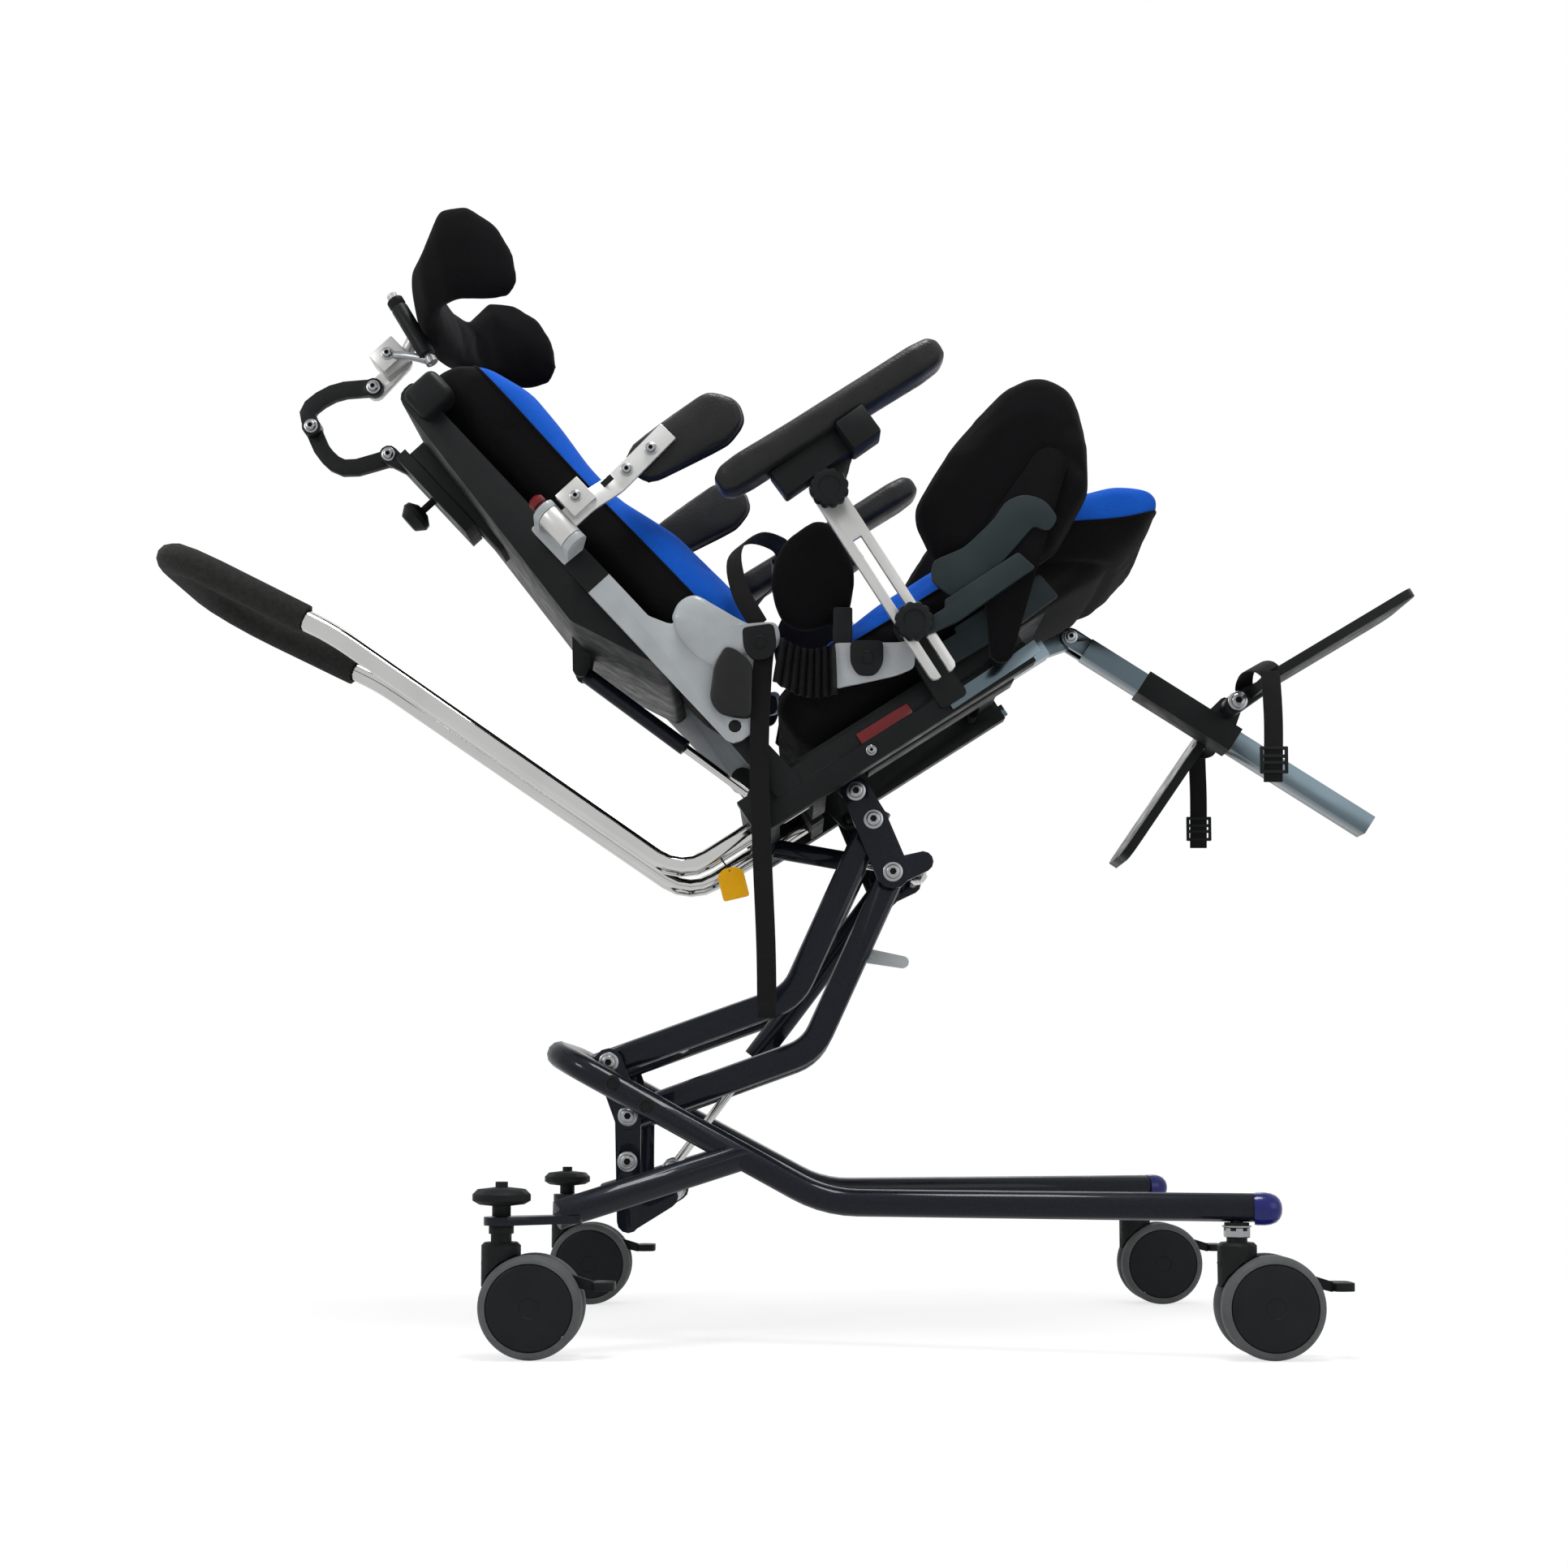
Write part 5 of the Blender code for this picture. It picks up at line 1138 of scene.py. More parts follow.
class CHAIR_OT_guards(bpy.types.Operator):
    """Silver hip guards with black bellows and strap guides, thigh brackets and the red insert"""
    bl_idname = "chair.guards"
    bl_label = "Guards"

    def execute(self, context):
        for hand, side in HANDS:
            self.front_guard(hand, side)
            self.bellows(hand, side)
            self.shields(hand, side)
            self.rail_strip(f"{hand}_insert", INSERT, INSERT_SIZE, side, "red", "red_plastic")
            self.rail_strip(f"{hand}_leg_sleeve", SLEEVE, SLEEVE_SIZE, side, "zinc", "chrome")
            side_bolts(f"{hand}_rail_rivet", "seat", RIVET_RADIUS,
                       [("seat_frame", on_seat(RIVET[0], 0, RIVET[1]), side)])
            self.hook(hand, side)
            self.guide_block(hand, side)
            self.rail_cover(hand, side)
            self.hip_pad(hand, side, context.scene.chair_sizes)
        return {"FINISHED"}

    def front_guard(self, hand, side):
        outline = round_outline(list(GUARD_TOP) + list(GUARD_LOW), 0.006, 3)
        piece = side_plate(f"{hand}_front_guard", outline, GUARD_THICK, GUARD_Y, side)
        dress(piece, "silver", "seat", "silver_plastic")

    def bellows(self, hand, side):
        count = PLEATS * 4
        bpy.ops.object.select_all(action="DESELECT")
        bpy.ops.mesh.primitive_grid_add(x_subdivisions=count, y_subdivisions=5, size=1)
        piece = bpy.context.object
        for vertex in piece.data.vertices:
            along = vertex.co.x + 0.5
            rise = vertex.co.y + 0.5
            fold = 0.5 - 0.5 * math.cos(2 * math.pi * PLEATS * along)
            top = Vector(PLEAT_LEFT[0]).lerp(Vector(PLEAT_RIGHT[0]), along)
            low = Vector(PLEAT_LEFT[1]).lerp(Vector(PLEAT_RIGHT[1]), along)
            x, z = low.lerp(top, rise)
            bow = PLEAT_BOW * math.sin(math.pi * rise)
            sag = PLEAT_SAG * math.sin(math.pi * along)
            vertex.co = (x, side * (GUARD_Y + PLEAT_DEEP * fold + bow), z - sag)
        modify(piece, "SOLIDIFY", thickness=0.0012, offset=0)
        fix_normals(piece)
        smooth(piece)
        piece.name = f"{hand}_bellows"
        paint(piece, FINISH["vinyl"])
        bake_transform(piece)

    def shields(self, hand, side):
        for name, body, (x, z, lean) in (("rear", "back", REAR_SHIELD), ("front", "seat", FRONT_SHIELD)):
            across, up = math.cos(lean), math.sin(lean)
            outline = [(x + a * across - b * up, z + a * up + b * across)
                       for a, b in round_outline(SHIELD, 0.006, 3)]
            body_plate = side_plate("shield", outline, SHIELD_THICK, GUARD_FACE + 0.0028, side)
            button = lathe("button", SHIELD_BUTTON, 28)
            place(button, side_turn(side), (x, side * (GUARD_FACE + 0.0056), z - 0.001))
            piece = join(f"{hand}_{name}_strap_guide", [body_plate, button])
            dress(piece, "plastic", body, "dark_plastic")

    def rail_strip(self, name, ends, size, side, finish, slot):
        start, end = (on_seat(along, 0, up) for along, up in ends)
        middle = (start + end) / 2
        found = face_of("seat_frame", middle, (0, side, 0))
        thick, tall = size
        piece = bar(name, ((end - start).length, thick, tall), 0.0010)
        lean = math.atan2(end.z - start.z, end.x - start.x)
        place(piece, Matrix.Rotation(-lean, 3, "Y"), (middle.x, found.y + side * thick * 0.2, middle.z))
        dress(piece, finish, "seat", slot)

    def hook(self, hand, side):
        outer = outer_face(f"{hand}_thigh_pad")
        outline = round_outline(seat_outline(HOOK), 0.008, 3)
        piece = side_plate(f"{hand}_thigh_bracket", outline, SLATE_THICK, outer - 0.001, side, SLATE_EDGE)
        dress(piece, "slate", f"{hand}_thigh_guide", "dark_plastic")

    def guide_block(self, hand, side):
        outer = outer_face(f"{hand}_thigh_pad")
        outline = round_outline(seat_outline(GUIDE_BLOCK), 0.003, 3)
        piece = side_plate(f"{hand}_guide_block", outline, 0.008, outer + 0.003, side, SLATE_EDGE)
        dress(piece, "slate", f"{hand}_thigh_guide", "dark_plastic")

    def hip_pad(self, hand, side, sizes):
        outline = round_outline(HIP_PAD, 0.014, 4)
        name = f"{hand}_hip_pad"
        pad = side_plate(name, outline, HIP_PAD_THICK, HIP_PAD_Y, side, 0.0060)
        pad = pad_from(None, name, sizes.voxel * 0.75, PAD_SWELL, pad)
        paint(pad, FINISH["cloth"])
        settle(pad, "seat", "black_fabric")
        stay = bar(f"{hand}_hip_pad_stay", HIP_STAY_SIZE, 0.0020)
        stay_y = side * (HIP_PAD_Y + HIP_PAD_THICK / 2 + HIP_STAY_GAP)
        place(stay, UNTURNED, (HIP_STAY[0], stay_y, HIP_STAY[1]))
        dress(stay, "plastic", "seat", "dark_plastic")

    def rail_cover(self, hand, side):
        outline = round_outline(seat_outline(RAIL_COVER), 0.003, 3)
        piece = side_plate(f"{hand}_rail_cover", outline, SLATE_THICK, RAIL_COVER_Y, side, SLATE_EDGE)
        dress(piece, "slate", "seat", "dark_plastic")


# Straps, buckles and the tag

STRAP_THICK = 0.0016
NARROW = 0.9                     # hip strap, lap belt and strap tails, as a share of the strap width
HIP_STRAP = ((1.00, 0.002, 0.0000), (0.92, -0.001, 0.0002), (0.70, -0.004, 0.0030), (0.45, -0.001, 0.0060),
             (0.20, 0.003, 0.0035), (0.04, 0.004, 0.0010), (0.00, 0.004, 0.0006))   # height share, X, Y
HEM_TALL = 0.016
LAP_BELT = ((-0.010, 0.156, 0.735), (-0.030, 0.153, 0.772), (-0.036, 0.146, 0.812), (-0.016, 0.120, 0.838),
            (0.008, 0.075, 0.846), (0.016, 0.030, 0.848))
LAP_BUCKLE = Vector((0.016, 0, 0.849))
LAP_BUCKLE_SIZE = (0.034, 0.062, 0.011)
LATCH = Vector((0, -0.004, 0.0055))              # on the buckle
LATCH_SIZE = (0.016, 0.020, 0.003)
LAP_LEAN = (0.78, 0, 0.62)       # across the lap belt
FOOT_START = {-1: 0.024, 1: 0.014}               # from the hinge to the foot straps, near and far side
FOOT_LIFT = 0.0058               # underside of the foot straps over the hinge line
FOOT_ARCH = 0.016                # how far they stand over the plate
FOOT_SHARES = (0, 0.08, 0.25, 0.5, 0.75, 0.92, 1)
FOOT_TAIL = ((0, 0, 0), (0.001, 0.003, -0.02), (0.002, 0.004, -0.06), (0.001, 0.003, -0.118))
BUCKLE_DROP = 0.035              # foot buckles under the middle of the tails
TAG = Vector((-0.0385, -0.1055, 0.4740))         # middle of the hang tag
TAG_OUTLINE = ((-0.014, -0.017), (0.014, -0.017), (0.014, 0.011), (0.006, 0.017), (-0.006, 0.017),
               (-0.014, 0.011))
TAG_FACE = (0.1, -1, 0.05)
TAG_UP = Vector((-0.25, 0, 1)).normalized()
TAG_HOLE = 0.0130                # over the middle of the tag
TIE_RADIUS = 0.0009


def webbing_strap(name, points, width, across, thick=STRAP_THICK):
    piece = ribbon(name, points, width, thick, across)
    smooth(piece)
    paint(piece, FINISH["webbing"])
    return piece


def ladder_buckle(name, width, middle, turn):
    """Plastic ladder buckle: a frame with two cross bars in local XY."""
    wide = width / 2 + 0.0030
    tall = 0.0125
    rails = [((2 * wide, 0.0036, 0.0034), (0, y, 0)) for y in (-tall, -0.003, 0.004, tall)]
    rails += [((0.0034, 2 * tall + 0.0036, 0.0038), (x, 0, 0)) for x in (-wide, wide)]
    pieces = []
    for size, centre in rails:
        piece = bar("rail", size, 0.0009)
        place(piece, UNTURNED, Vector(centre))
        pieces.append(piece)
    piece = join(name, pieces)
    smooth(piece)
    place(piece, turn, middle)
    paint(piece, FINISH["plastic"])
    return piece


def facing(out, along):
    """Rotation whose local Z faces out and whose local Y runs along."""
    z = Vector(out).normalized()
    x = Vector(along).cross(z).normalized()
    return Matrix((x, z.cross(x), z)).transposed()


class CHAIR_OT_straps(bpy.types.Operator):
    """Hip strap, lap belt with its buckle, foot straps with ladder buckles and the yellow tag"""
    bl_idname = "chair.straps"
    bl_label = "Straps"

    def execute(self, context):
        width = context.scene.chair_sizes.strap
        self.hip_strap(width)
        self.lap_belt(width)
        self.foot_straps(width)
        self.tag()
        return {"FINISHED"}

    def hip_strap(self, width):
        low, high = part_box("hip_strap")
        middle = (low + high) / 2
        tall = high.z - low.z
        points = [(middle.x + x, middle.y - y, low.z + share * tall) for share, x, y in HIP_STRAP]
        strap = webbing_strap("hip_strap_webbing", points, width * NARROW, (1, 0, 0))
        hem = bar("hem", (width * 0.88, 0.0034, HEM_TALL), 0.0010)
        place(hem, UNTURNED, Vector(points[-1]) + Vector((0, 0, 0.009)))
        paint(hem, FINISH["webbing"])
        smooth(hem)
        piece = join("hip_strap_webbing", [strap, hem])
        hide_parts("hip_strap")
        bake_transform(piece)

    def lap_belt(self, width):
        for hand, side in HANDS:
            points = [Vector((x, side * y, z)) for x, y, z in LAP_BELT]
            belt = webbing_strap(f"{hand}_lap_belt", points, width * NARROW, LAP_LEAN)
            settle(belt, "back", "black_fabric")
        shell = bar("lap_buckle", LAP_BUCKLE_SIZE, 0.0040, 4)
        latch = bar("latch", LATCH_SIZE, 0.0012)
        place(latch, UNTURNED, LATCH)
        paint(shell, FINISH["plastic"])
        paint(latch, FINISH["red"])
        buckle = join("lap_buckle", [shell, latch])
        smooth(buckle)
        place(buckle, turn_to((-LAP_LEAN[2], 0, LAP_LEAN[0])), LAP_BUCKLE)
        settle(buckle, "back", "dark_plastic")

    def foot_straps(self, width):
        for hand, side in HANDS:
            plate = f"{hand}_foot_plate"
            pin = spot(f"{hand}_foot_fold")
            low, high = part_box(plate)
            far = max((v.co for v in NODES[plate].data.vertices), key=lambda c: (c - pin).xz.length)
            along = Vector((far.x - pin.x, 0, far.z - pin.z)).normalized()
            normal = Vector((-along.z, 0, along.x))
            middle = (low.y + high.y) / 2
            start = Vector((pin.x, middle, pin.z)) + along * FOOT_START[side]
            y_edge = high.y if side < 0 else low.y
            outer = low.y if side < 0 else high.y
            loop = []
            for share in FOOT_SHARES:
                across = outer + (y_edge - outer) * share
                rise = FOOT_LIFT + FOOT_ARCH * math.sin(math.pi * share) ** 0.6
                loop.append(Vector((start.x, across, start.z)) + normal * rise)
            band = webbing_strap(f"{hand}_foot_band", loop, width, along)
            tail_top = Vector((start.x, outer, start.z)) + normal * FOOT_LIFT
            tail_points = [tail_top + Vector((x, side * y, z)) for x, y, z in FOOT_TAIL]
            tail = webbing_strap(f"{hand}_foot_tail", tail_points, width * NARROW, (1, 0, 0))
            buckle = ladder_buckle(f"{hand}_foot_buckle", width * NARROW,
                                   tail_points[2] - Vector((0, 0, BUCKLE_DROP)),
                                   facing((0, side, 0), (0, 0, 1)))
            settle(join(f"{hand}_foot_strap", [band, tail]), f"{hand}_foot", "black_fabric")
            settle(buckle, f"{hand}_foot", "dark_plastic")

    def tag(self):
        outline = round_outline(TAG_OUTLINE, 0.003, 3)
        tag = outline_plate("hang_tag", outline, 0.0009, 0.0002)
        smooth(tag)
        paint(tag, FINISH["yellow"])
        place(tag, facing(TAG_FACE, TAG_UP), TAG)
        top = TAG + TAG_UP * TAG_HOLE
        tube = skin("push_tube").find_nearest(top)[0]
        tie = cord_tube("tie", [top, (top + tube) / 2 - SIDEWAYS * 0.0020, tube], TIE_RADIUS, 2)
        smooth(tie)
        paint(tie, FINISH["plastic"])
        settle(join("hang_tag", [tag, tie]), "push_handle", "dark_plastic")


# Knobs, side rails and small fittings of the back

RIBS = 12
KNOB_DEEP = 0.0177               # depth of the hand knobs without their studs
RAIL_SPLIT = 0.205               # height on the back where the side rails turn from silver to black
RAIL_FACE = 0.1600               # distance of the rails' outer faces from the middle, and a little more
KNOB = ((0.0040, 0), (0.0125, 0), (0.0148, 0.0008), (0.0150, 0.0040), (0.0184, 0.0055), (0.0199, 0.0075),
        (0.0199, 0.0145), (0.0189, 0.0167), (0.0166, 0.0176), (0.0112, 0.0176), (0.0105, 0.0166),
        (0.0010, 0.0164))        # radius and height over the stud
KNOB_RIM = 0.016                 # radius beyond which the knobs are ribbed
RIB_DEEP = 0.085                 # as a share of the radius
GUARD_EDGE = ((0.030, 0.128), (0.046, 0.134), (0.063, 0.128), (0.071, 0.105), (0.084, 0.066),
              (0.104, 0.050), (0.088, 0.030), (0.062, 0.046), (0.030, 0.056), (0.020, 0.080),
              (0.021, 0.108))    # out of the back and up it
GUARD_RINGS = ((0.97, 0.0028), (0.86, 0.0052), (0.66, 0.0078), (0.42, 0.0094), (0.18, 0.0100))
GUARD_SEAT = (0.045, 0.085)      # place on the side rail that carries the hip guard
PAD_BOLTS = ((0.1007, 0.2730), (0.1340, 0.2722))
ARM_BLOCK = (0.0381, 0.2777)
ARM_BLOCK_SIZE = (0.030, 0.012, 0.030)
# thin dark strip on the lateral arm's face, painted as the shade inside its slot, out of the back and up it
SLOT_SHADE_PLACE = (0.0700, 0.2752)
SLOT_SHADE_SIZE = (0.026, 0.0008, 0.0066)
GRIP_ENDS = ((0.0639, 0.6296), (0.0486, 0.5578))
GRIP_Y = -0.034
CLAMP = (0.0188, 0.5952)
CLAMP_SIZE = (0.034, 0.034, 0.026)
CLAMP_LINK = (0.036, -0.030, 0.570)              # bend of the rod between clamp and grip
ARM_BRACKET = (0.0420, 0.8870)   # X and Z
ARM_BRACKET_SIZE = (0.080, 0.024, 0.030)
ARM_CLAMP_SIZE = (0.034, 0.036, 0.034)
ARM_CLAMP = (0.0898, 0.9170)
RAIL_CAP = (0.0050, 0.1420, 0.4750)
RAIL_CAP_SIZE = (0.044, 0.036, 0.038)
HINGE_COVER = ((-0.0445, 0.7114), (-0.0561, 0.6928), (-0.0610, 0.6558), (-0.0510, 0.6415),
               (-0.0335, 0.6373), (-0.0177, 0.6364), (-0.0161, 0.6928), (-0.0336, 0.7080))
HINGE_COVER_THICK = 0.011


def back_turn(side):
    """Rotation with local X out of the back's face, local Z up it, and local Y sideways."""
    return Matrix((BACK_OUT, SIDEWAYS * side, BACK_UP * side)).transposed()


class CHAIR_OT_fittings(bpy.types.Operator):
    """Ribbed hand knobs, two-tone side rails, hip guards, and the clamps of the laterals and headrest"""
    bl_idname = "chair.fittings"
    bl_label = "Fittings"

    def execute(self, context):
        sizes = context.scene.chair_sizes
        for hand, side in HANDS:
            self.knob(f"{hand}_lower_knob", f"{hand}_height_knob", side)
            self.knob(f"{hand}_upper_knob", f"{hand}_angle_knob", side)
            self.side_rail(hand, sizes.edge)
            self.hip_guard(hand, side)
            self.rail_ends(hand, side)
            self.lateral(hand, side, sizes.bolt)
            self.arm_bracket(hand, side)
        self.head_clamp()
        return {"FINISHED"}

    def knob(self, node, body, side):
        low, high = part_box(node)
        centre = spot(f"{body}_turn")
        outer = high.y if side > 0 else low.y
        stud = high.y - low.y - KNOB_DEEP
        piece = lathe(f"{node}_finished", [(KNOB[0][0], -stud), *KNOB], 96)
        for vertex in piece.data.vertices:
            if vertex.co.xy.length > KNOB_RIM:
                wave = 0.5 + 0.5 * math.cos(RIBS * math.atan2(vertex.co.y, vertex.co.x))
                vertex.co.xy *= 1 - RIB_DEEP * wave ** 2
        smooth(piece)
        place(piece, side_turn(side), (centre.x, outer - side * KNOB_DEEP, centre.z))
        paint(piece, FINISH["plastic"])
        settle(piece, body, "dark_plastic", node)

    def side_rail(self, hand, edge):
        node = f"{hand}_side_rail"
        piece = shell_copy(node, f"{node}_finished")
        edit(piece)
        bpy.ops.mesh.bisect(plane_co=on_back(0, 0, RAIL_SPLIT), plane_no=BACK_UP)
        leave()
        soften(piece, edge)
        smooth(piece)
        paint(piece, FINISH["silver"])
        piece.data.materials.append(FINISH["plastic"])
        for face in piece.data.polygons:
            if (face.center - HIP).dot(BACK_UP) > RAIL_SPLIT and abs(face.center.y) < RAIL_FACE:
                face.material_index = 1
        settle(piece, BODY_OF[node], "silver_plastic", node)

    def rail_face(self, hand, side):
        """Distance of a side rail's outer face from the middle, under its hip guard."""
        found = face_of(f"{hand}_side_rail", on_back(GUARD_SEAT[0], 0, GUARD_SEAT[1]), (0, side, 0))
        return abs(found.y)

    def hip_guard(self, hand, side):
        outer = self.rail_face(hand, side) - 0.0005
        ring = [Vector((*place_at, 0)) for place_at in GUARD_EDGE + GUARD_EDGE[:1]]
        edge = [on_back(point.x, 0, point.y) for point in curve_points(ring, 4)[:-1]]
        middle = sum(edge, Vector()) / len(edge)
        bpy.ops.object.select_all(action="DESELECT")
        bpy.ops.mesh.primitive_circle_add(vertices=len(edge), radius=1)
        piece = bpy.context.object
        for vertex, point in zip(piece.data.vertices, edge):
            vertex.co = point + SIDEWAYS * side * outer
        edit(piece)
        bpy.ops.mesh.select_mode(type="EDGE")
        centre = middle + SIDEWAYS * side * outer
        share = 1.0
        rise = 0.0
        for next_share, next_rise in GUARD_RINGS:
            bpy.ops.mesh.extrude_edges_move(
                TRANSFORM_OT_translate={"value": (0, side * (next_rise - rise), 0)})
            scale = next_share / share
            bpy.ops.transform.resize(value=(scale, 1, scale), center_override=centre)
            share, rise = next_share, next_rise
        bpy.ops.mesh.edge_face_add()
        leave()
        fix_normals(piece)
        modify(piece, "SUBSURF", levels=1, render_levels=1)
        smooth(piece, math.radians(60))
        piece.name = f"{hand}_hip_guard"
        paint(piece, FINISH["silver"])
        settle(piece, "back", "silver_plastic")

    def rail_ends(self, hand, side):
        cap = bar(f"{hand}_rail_cap", RAIL_CAP_SIZE, 0.0100, 5)
        place(cap, back_turn(side), on_back(RAIL_CAP[0], side * RAIL_CAP[1], RAIL_CAP[2]))
        dress(cap, "plastic", "back", "dark_plastic")
        outer = self.rail_face(hand, side)
        outline = round_outline(HINGE_COVER, 0.010, 4)
        cover = side_plate(f"{hand}_hinge_cover", outline, HINGE_COVER_THICK, outer + 0.0052, side, 0.0030)
        dress(cover, "vinyl", "back", "black_vinyl")

    def lateral(self, hand, side, washer):
        node = f"{hand}_lateral_arm"
        body = f"{hand}_lateral"
        side_bolts(f"{hand}_pad_bolts", body, washer * 0.85,
                   [(node, on_back(out, 0, up), side) for out, up in PAD_BOLTS])
        # A thin dark plastic strip on the arm's outer face stands in for its slot: painted shade.
        face = face_of(node, on_back(SLOT_SHADE_PLACE[0], 0, SLOT_SHADE_PLACE[1]), (0, side, 0))
        if face:
            slot = bar(f"{hand}_arm_slot", SLOT_SHADE_SIZE, 0.0003)
            place(slot, back_turn(side), face)
            paint(slot, FINISH["plastic"])
            settle(slot, body, "dark_plastic")
        face = face_of(node, on_back(ARM_BLOCK[0], 0, ARM_BLOCK[1]), (0, side, 0))
        if face:
            block = bar(f"{hand}_arm_block", ARM_BLOCK_SIZE, 0.0012)
            place(block, back_turn(side), face + SIDEWAYS * side * 0.0015)
            bolt = socket_bolt("bolt", washer * 0.8)
            place(bolt, side_turn(side), face + SIDEWAYS * side * 0.0075)
            smooth(block)
            paint(block, FINISH["aluminium"])
            settle(join(f"{hand}_arm_block", [block, bolt]), body, "aluminium")

    def arm_bracket(self, hand, side):
        low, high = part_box(f"{hand}_armrest_pad")
        middle = (low.y + high.y) / 2
        outer = high.y if side > 0 else low.y
        lean = Matrix.Rotation(-math.atan2(high.z - low.z, high.x - low.x), 3, "Y")
        bracket = bar(f"{hand}_arm_bracket", ARM_BRACKET_SIZE, 0.0025)
        place(bracket, lean, (ARM_BRACKET[0], middle, ARM_BRACKET[1]))
        clamp = bar("clamp", ARM_CLAMP_SIZE, 0.0030)
        place(clamp, lean, (ARM_CLAMP[0], outer - side * 0.0150, ARM_CLAMP[1]))
        piece = join(f"{hand}_arm_bracket", [bracket, clamp])
        dress(piece, "plastic", f"{hand}_armrest", "dark_plastic")

    def head_clamp(self):
        top, low = (on_back(out, GRIP_Y, up) for out, up in GRIP_ENDS)
        run = top - low
        grip = lathe("headrest_grip", [(0.0082, 0), (0.0095, 0.0012), (0.0095, run.length - 0.012),
                                       (0.0088, run.length - 0.0108), (0.0088, run.length - 0.009),
                                       (0.0095, run.length - 0.008), (0.0095, run.length - 0.001),
                                       (0.0086, run.length)], 32)
        tip = lathe("tip", [(0.0062, run.length - 0.001), (0.0062, run.length + 0.006),
                            (0.0050, run.length + 0.0072), (0.0010, run.length + 0.0074)], 28)
        neck = lathe("neck", [(0.0070, -0.010), (0.0070, -0.004), (0.0052, -0.0036), (0.0052, 0.002)], 28)
        for piece, finish in ((grip, "plastic"), (tip, "chrome"), (neck, "steel")):
            smooth(piece)
            paint(piece, FINISH[finish])
            place(piece, turn_to(run), low)
        settle(join("headrest_grip", [grip, tip, neck]), "head", "dark_plastic")
        middle = on_back(CLAMP[0], -0.006, CLAMP[1])
        block = bar("headrest_clamp", CLAMP_SIZE, 0.0016)
        place(block, back_turn(1), middle)
        smooth(block)
        paint(block, FINISH["aluminium"])
        link = cord_tube("link", [middle + SIDEWAYS * -0.012, on_back(*CLAMP_LINK),
                                  low - run.normalized() * 0.008], 0.0045, 3)
        smooth(link)
        paint(link, FINISH["steel"])
        bolt = socket_bolt("bolt", 0.0072)
        place(bolt, side_turn(-1), middle + SIDEWAYS * -0.017)
        settle(join("headrest_clamp", [block, link, bolt]), "head", "aluminium")


# Stage

FLOOR_RADIUS = 9.0
FADE_FROM = 0.5                  # distance where the floor starts to fade into the white
FADE_TO = 1.3
FLOOR_WHITE = 0.72               # share of plain white in the floor under the chair
SKY_LOW = 0.24                   # light from the sides
SKY_HIGH = 1.05                  # light from above
SKY_FROM = 0.05                  # height, as a share of straight up, where the sky starts to brighten
SKY_TO = 0.85
LAMP_AIM = Vector((0, 0, 0.6))
LAMPS = (("overhead", (0.1, -0.5, 3.0), 0.8, 54), ("window", (-2.4, -2.0, 1.9), 0.6, 26),
         ("fill", (2.2, -2.2, 1.3), 1.8, 16), ("rim", (0.3, 2.6, 2.0), 1.8, 18))   # place, size, watts
CAMERA_X = 0.023
CAMERA_Z = 0.230
CAMERA_PITCH = 3.5               # degrees over the horizon
SENSOR = 36                      # millimetres
CAMERA_SHIFT = (-0.0047, 0.1391)


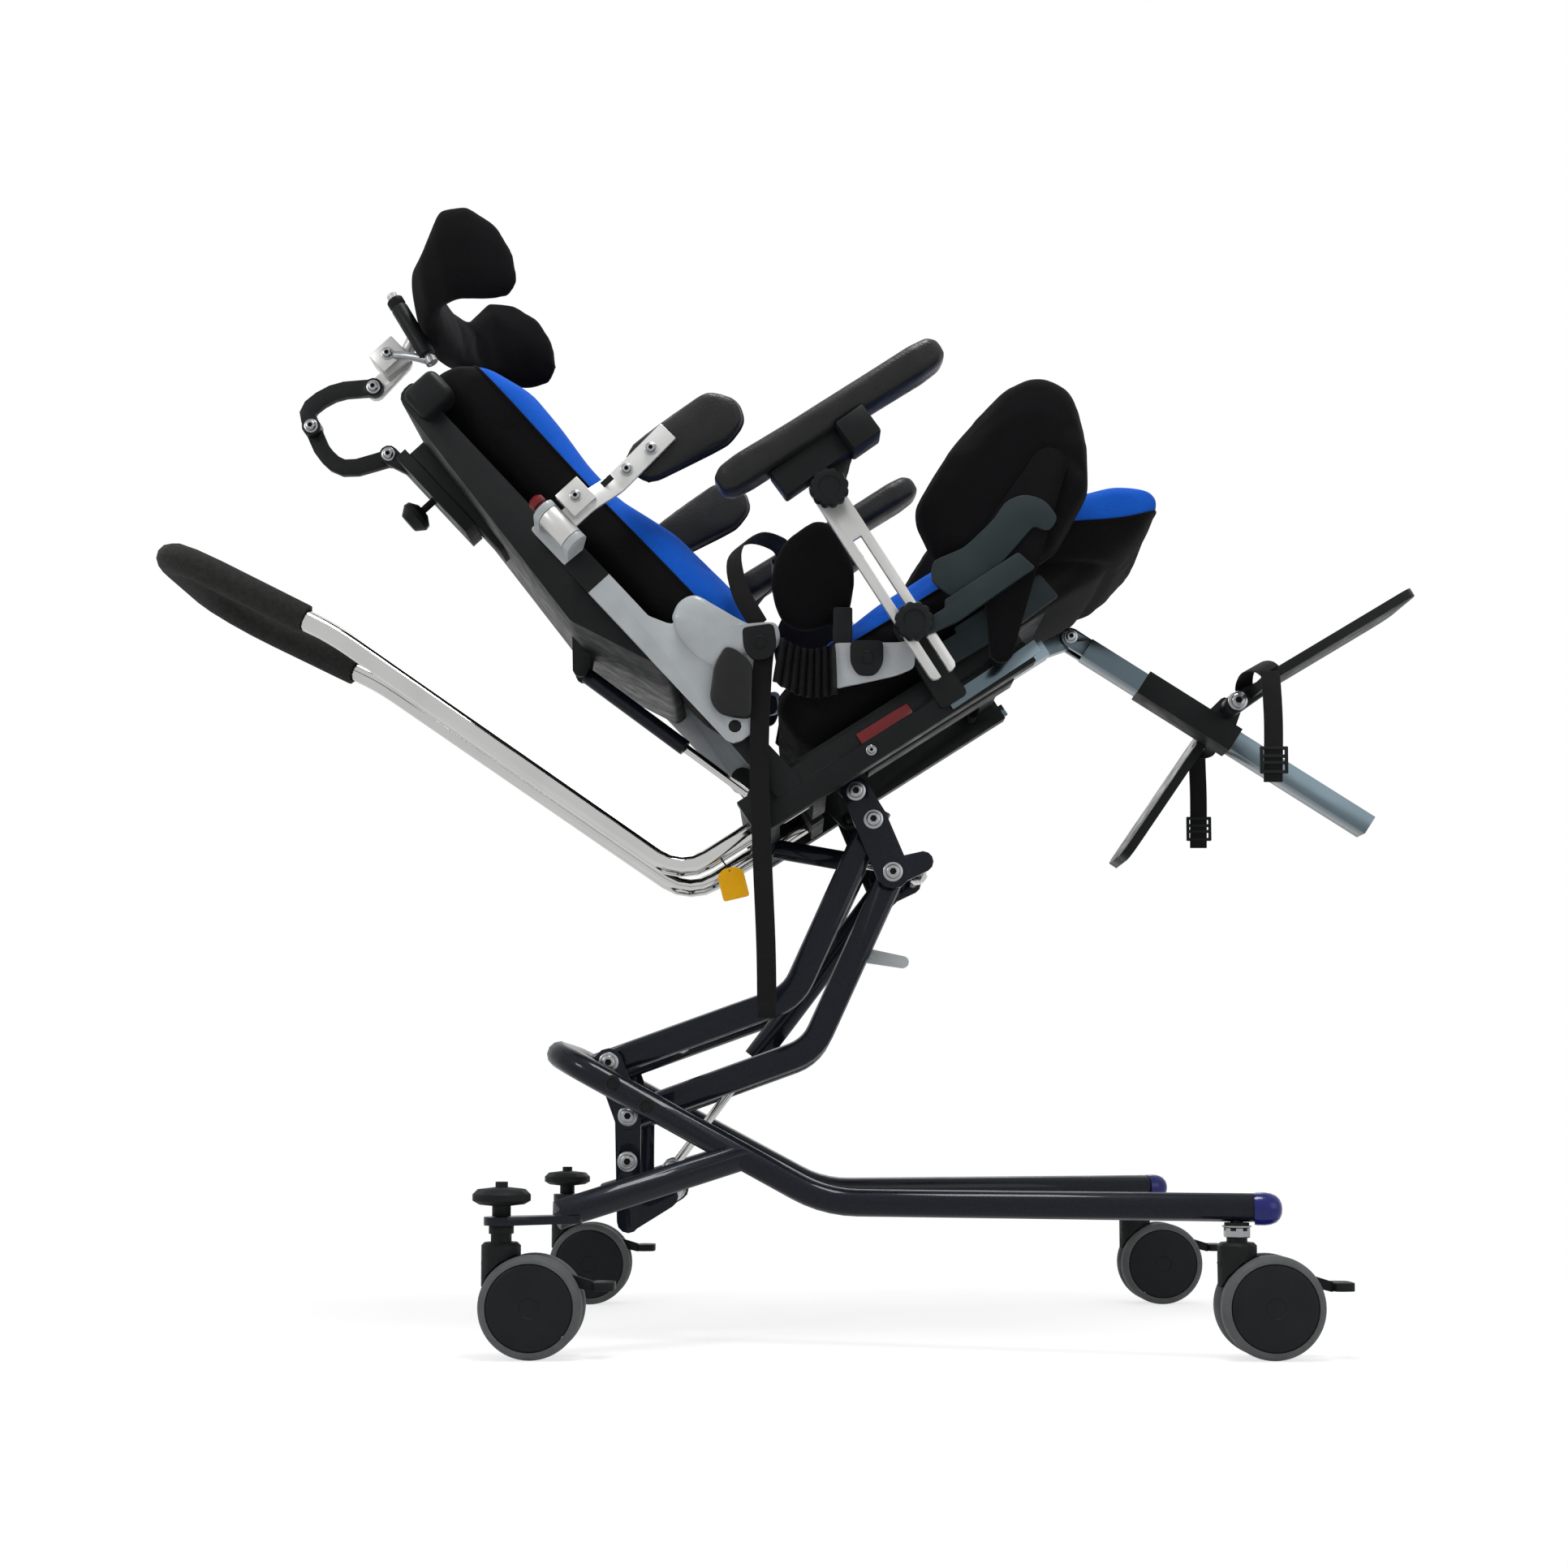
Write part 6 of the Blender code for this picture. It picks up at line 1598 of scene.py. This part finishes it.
class CHAIR_OT_stage(bpy.types.Operator):
    """White studio floor, soft lamps and the camera"""
    bl_idname = "chair.stage"
    bl_label = "Stage"

    def execute(self, context):
        self.floor(context.scene.chair_colours.floor)
        self.world(context.scene)
        self.lamps()
        self.camera(context.scene)
        context.scene.view_settings.view_transform = "Standard"
        return {"FINISHED"}

    def floor(self, tint):
        bpy.ops.object.select_all(action="DESELECT")
        bpy.ops.mesh.primitive_circle_add(vertices=96, radius=FLOOR_RADIUS, fill_type="NGON")
        floor = bpy.context.object
        floor.name = "studio_floor"
        finish = Finish("studio_floor", tint, 0.9)
        finish.feed("Base Color", finish.shade(finish.noise(3, 4), 0.99, 1.01))
        distance = finish.node("ShaderNodeVectorMath", {0: finish.place}, operation="LENGTH")
        fade = finish.node("ShaderNodeMapRange", {
            "Value": distance.outputs["Value"], "From Min": FADE_FROM, "From Max": FADE_TO,
            "To Min": FLOOR_WHITE, "To Max": 1.0}, interpolation_type="SMOOTHSTEP")
        glow = finish.node("ShaderNodeEmission", {"Color": (1, 1, 1, 1), "Strength": 1.0})
        seen = finish.node("ShaderNodeLightPath")
        visible = finish.math("MAXIMUM", seen.outputs["Is Camera Ray"], seen.outputs["Is Glossy Ray"])
        visible = finish.math("MAXIMUM", visible, seen.outputs["Is Transmission Ray"])
        share = finish.math("MULTIPLY", fade.outputs["Result"], visible)
        blend = finish.node("ShaderNodeMixShader", {0: share, 1: finish.shader.outputs[0],
                                                    2: glow.outputs[0]})
        finish.tree.links.new(blend.outputs[0], finish.tree.nodes["Material Output"].inputs["Surface"])
        paint(floor, finish.material)

    def world(self, scene):
        world = bpy.data.worlds.new("studio")
        scene.world = world
        world.use_nodes = True
        tree = world.node_tree
        light = tree.nodes["Background"]
        light.inputs["Color"].default_value = (1, 1, 1, 1)
        ray = tree.nodes.new("ShaderNodeTexCoord")
        rise = tree.nodes.new("ShaderNodeSeparateXYZ")
        sky = tree.nodes.new("ShaderNodeMapRange")
        sky.interpolation_type = "SMOOTHSTEP"
        for socket, value in (("From Min", SKY_FROM), ("From Max", SKY_TO), ("To Min", SKY_LOW),
                              ("To Max", SKY_HIGH)):
            sky.inputs[socket].default_value = value
        tree.links.new(ray.outputs["Generated"], rise.inputs["Vector"])
        tree.links.new(rise.outputs["Z"], sky.inputs["Value"])
        tree.links.new(sky.outputs["Result"], light.inputs["Strength"])
        white = tree.nodes.new("ShaderNodeBackground")
        white.inputs["Strength"].default_value = 1.0
        white.inputs["Color"].default_value = (1, 1, 1, 1)
        seen = tree.nodes.new("ShaderNodeLightPath")
        visible = seen.outputs["Is Camera Ray"]
        for other in ("Is Glossy Ray", "Is Transmission Ray"):
            either = tree.nodes.new("ShaderNodeMath")
            either.operation = "MAXIMUM"
            tree.links.new(visible, either.inputs[0])
            tree.links.new(seen.outputs[other], either.inputs[1])
            visible = either.outputs[0]
        blend = tree.nodes.new("ShaderNodeMixShader")
        tree.links.new(visible, blend.inputs[0])
        tree.links.new(light.outputs[0], blend.inputs[1])
        tree.links.new(white.outputs[0], blend.inputs[2])
        tree.links.new(blend.outputs[0], tree.nodes["World Output"].inputs["Surface"])

    def lamps(self):
        for name, location, size, power in LAMPS:
            bpy.ops.object.light_add(type="AREA", location=location)
            lamp = bpy.context.object
            lamp.name = f"lamp_{name}"
            lamp.data.size = size
            lamp.data.energy = power
            lamp.rotation_euler = (LAMP_AIM - lamp.location).to_track_quat("-Z", "Y").to_euler()

    def camera(self, scene):
        sizes = scene.chair_sizes
        bpy.ops.object.camera_add(location=(CAMERA_X, -sizes.camera_distance, CAMERA_Z),
                                  rotation=(math.radians(90 + CAMERA_PITCH), 0, 0))
        camera = bpy.context.object
        camera.name = "photo_camera"
        camera.data.sensor_width = SENSOR
        camera.data.lens = sizes.lens
        camera.data.shift_x, camera.data.shift_y = CAMERA_SHIFT
        scene.camera = camera


# Panel and run

OPERATORS = (CHAIR_OT_stage, CHAIR_OT_frame_parts, CHAIR_OT_wheels, CHAIR_OT_cushions, CHAIR_OT_side_pads,
             CHAIR_OT_bolts, CHAIR_OT_guards, CHAIR_OT_straps, CHAIR_OT_fittings)


class CHAIR_PT_dressing(bpy.types.Panel):
    """Sidebar list of the dressing steps"""
    bl_idname = "CHAIR_PT_dressing"
    bl_label = "Chair Dressing"
    bl_space_type = "VIEW_3D"
    bl_region_type = "UI"
    bl_category = "Chair"

    def draw(self, context):
        for operator in OPERATORS:
            self.layout.operator(operator.bl_idname)
        for group in (context.scene.chair_colours, context.scene.chair_sizes):
            box = self.layout.box()
            for name in group.__annotations__:
                box.prop(group, name)


CLASSES = (ChairColours, ChairSizes, *OPERATORS, CHAIR_PT_dressing)


def register():
    for cls in CLASSES:
        bpy.utils.register_class(cls)
    bpy.types.Scene.chair_colours = PointerProperty(type=ChairColours)
    bpy.types.Scene.chair_sizes = PointerProperty(type=ChairSizes)


def unregister():
    del bpy.types.Scene.chair_sizes
    del bpy.types.Scene.chair_colours
    for cls in reversed(CLASSES):
        bpy.utils.unregister_class(cls)


def main():
    register()
    make_finishes(bpy.context.scene.chair_colours)
    for operator in OPERATORS:
        group, name = operator.bl_idname.split(".")
        getattr(getattr(bpy.ops, group), name)()


if __name__ == "__main__":
    main()
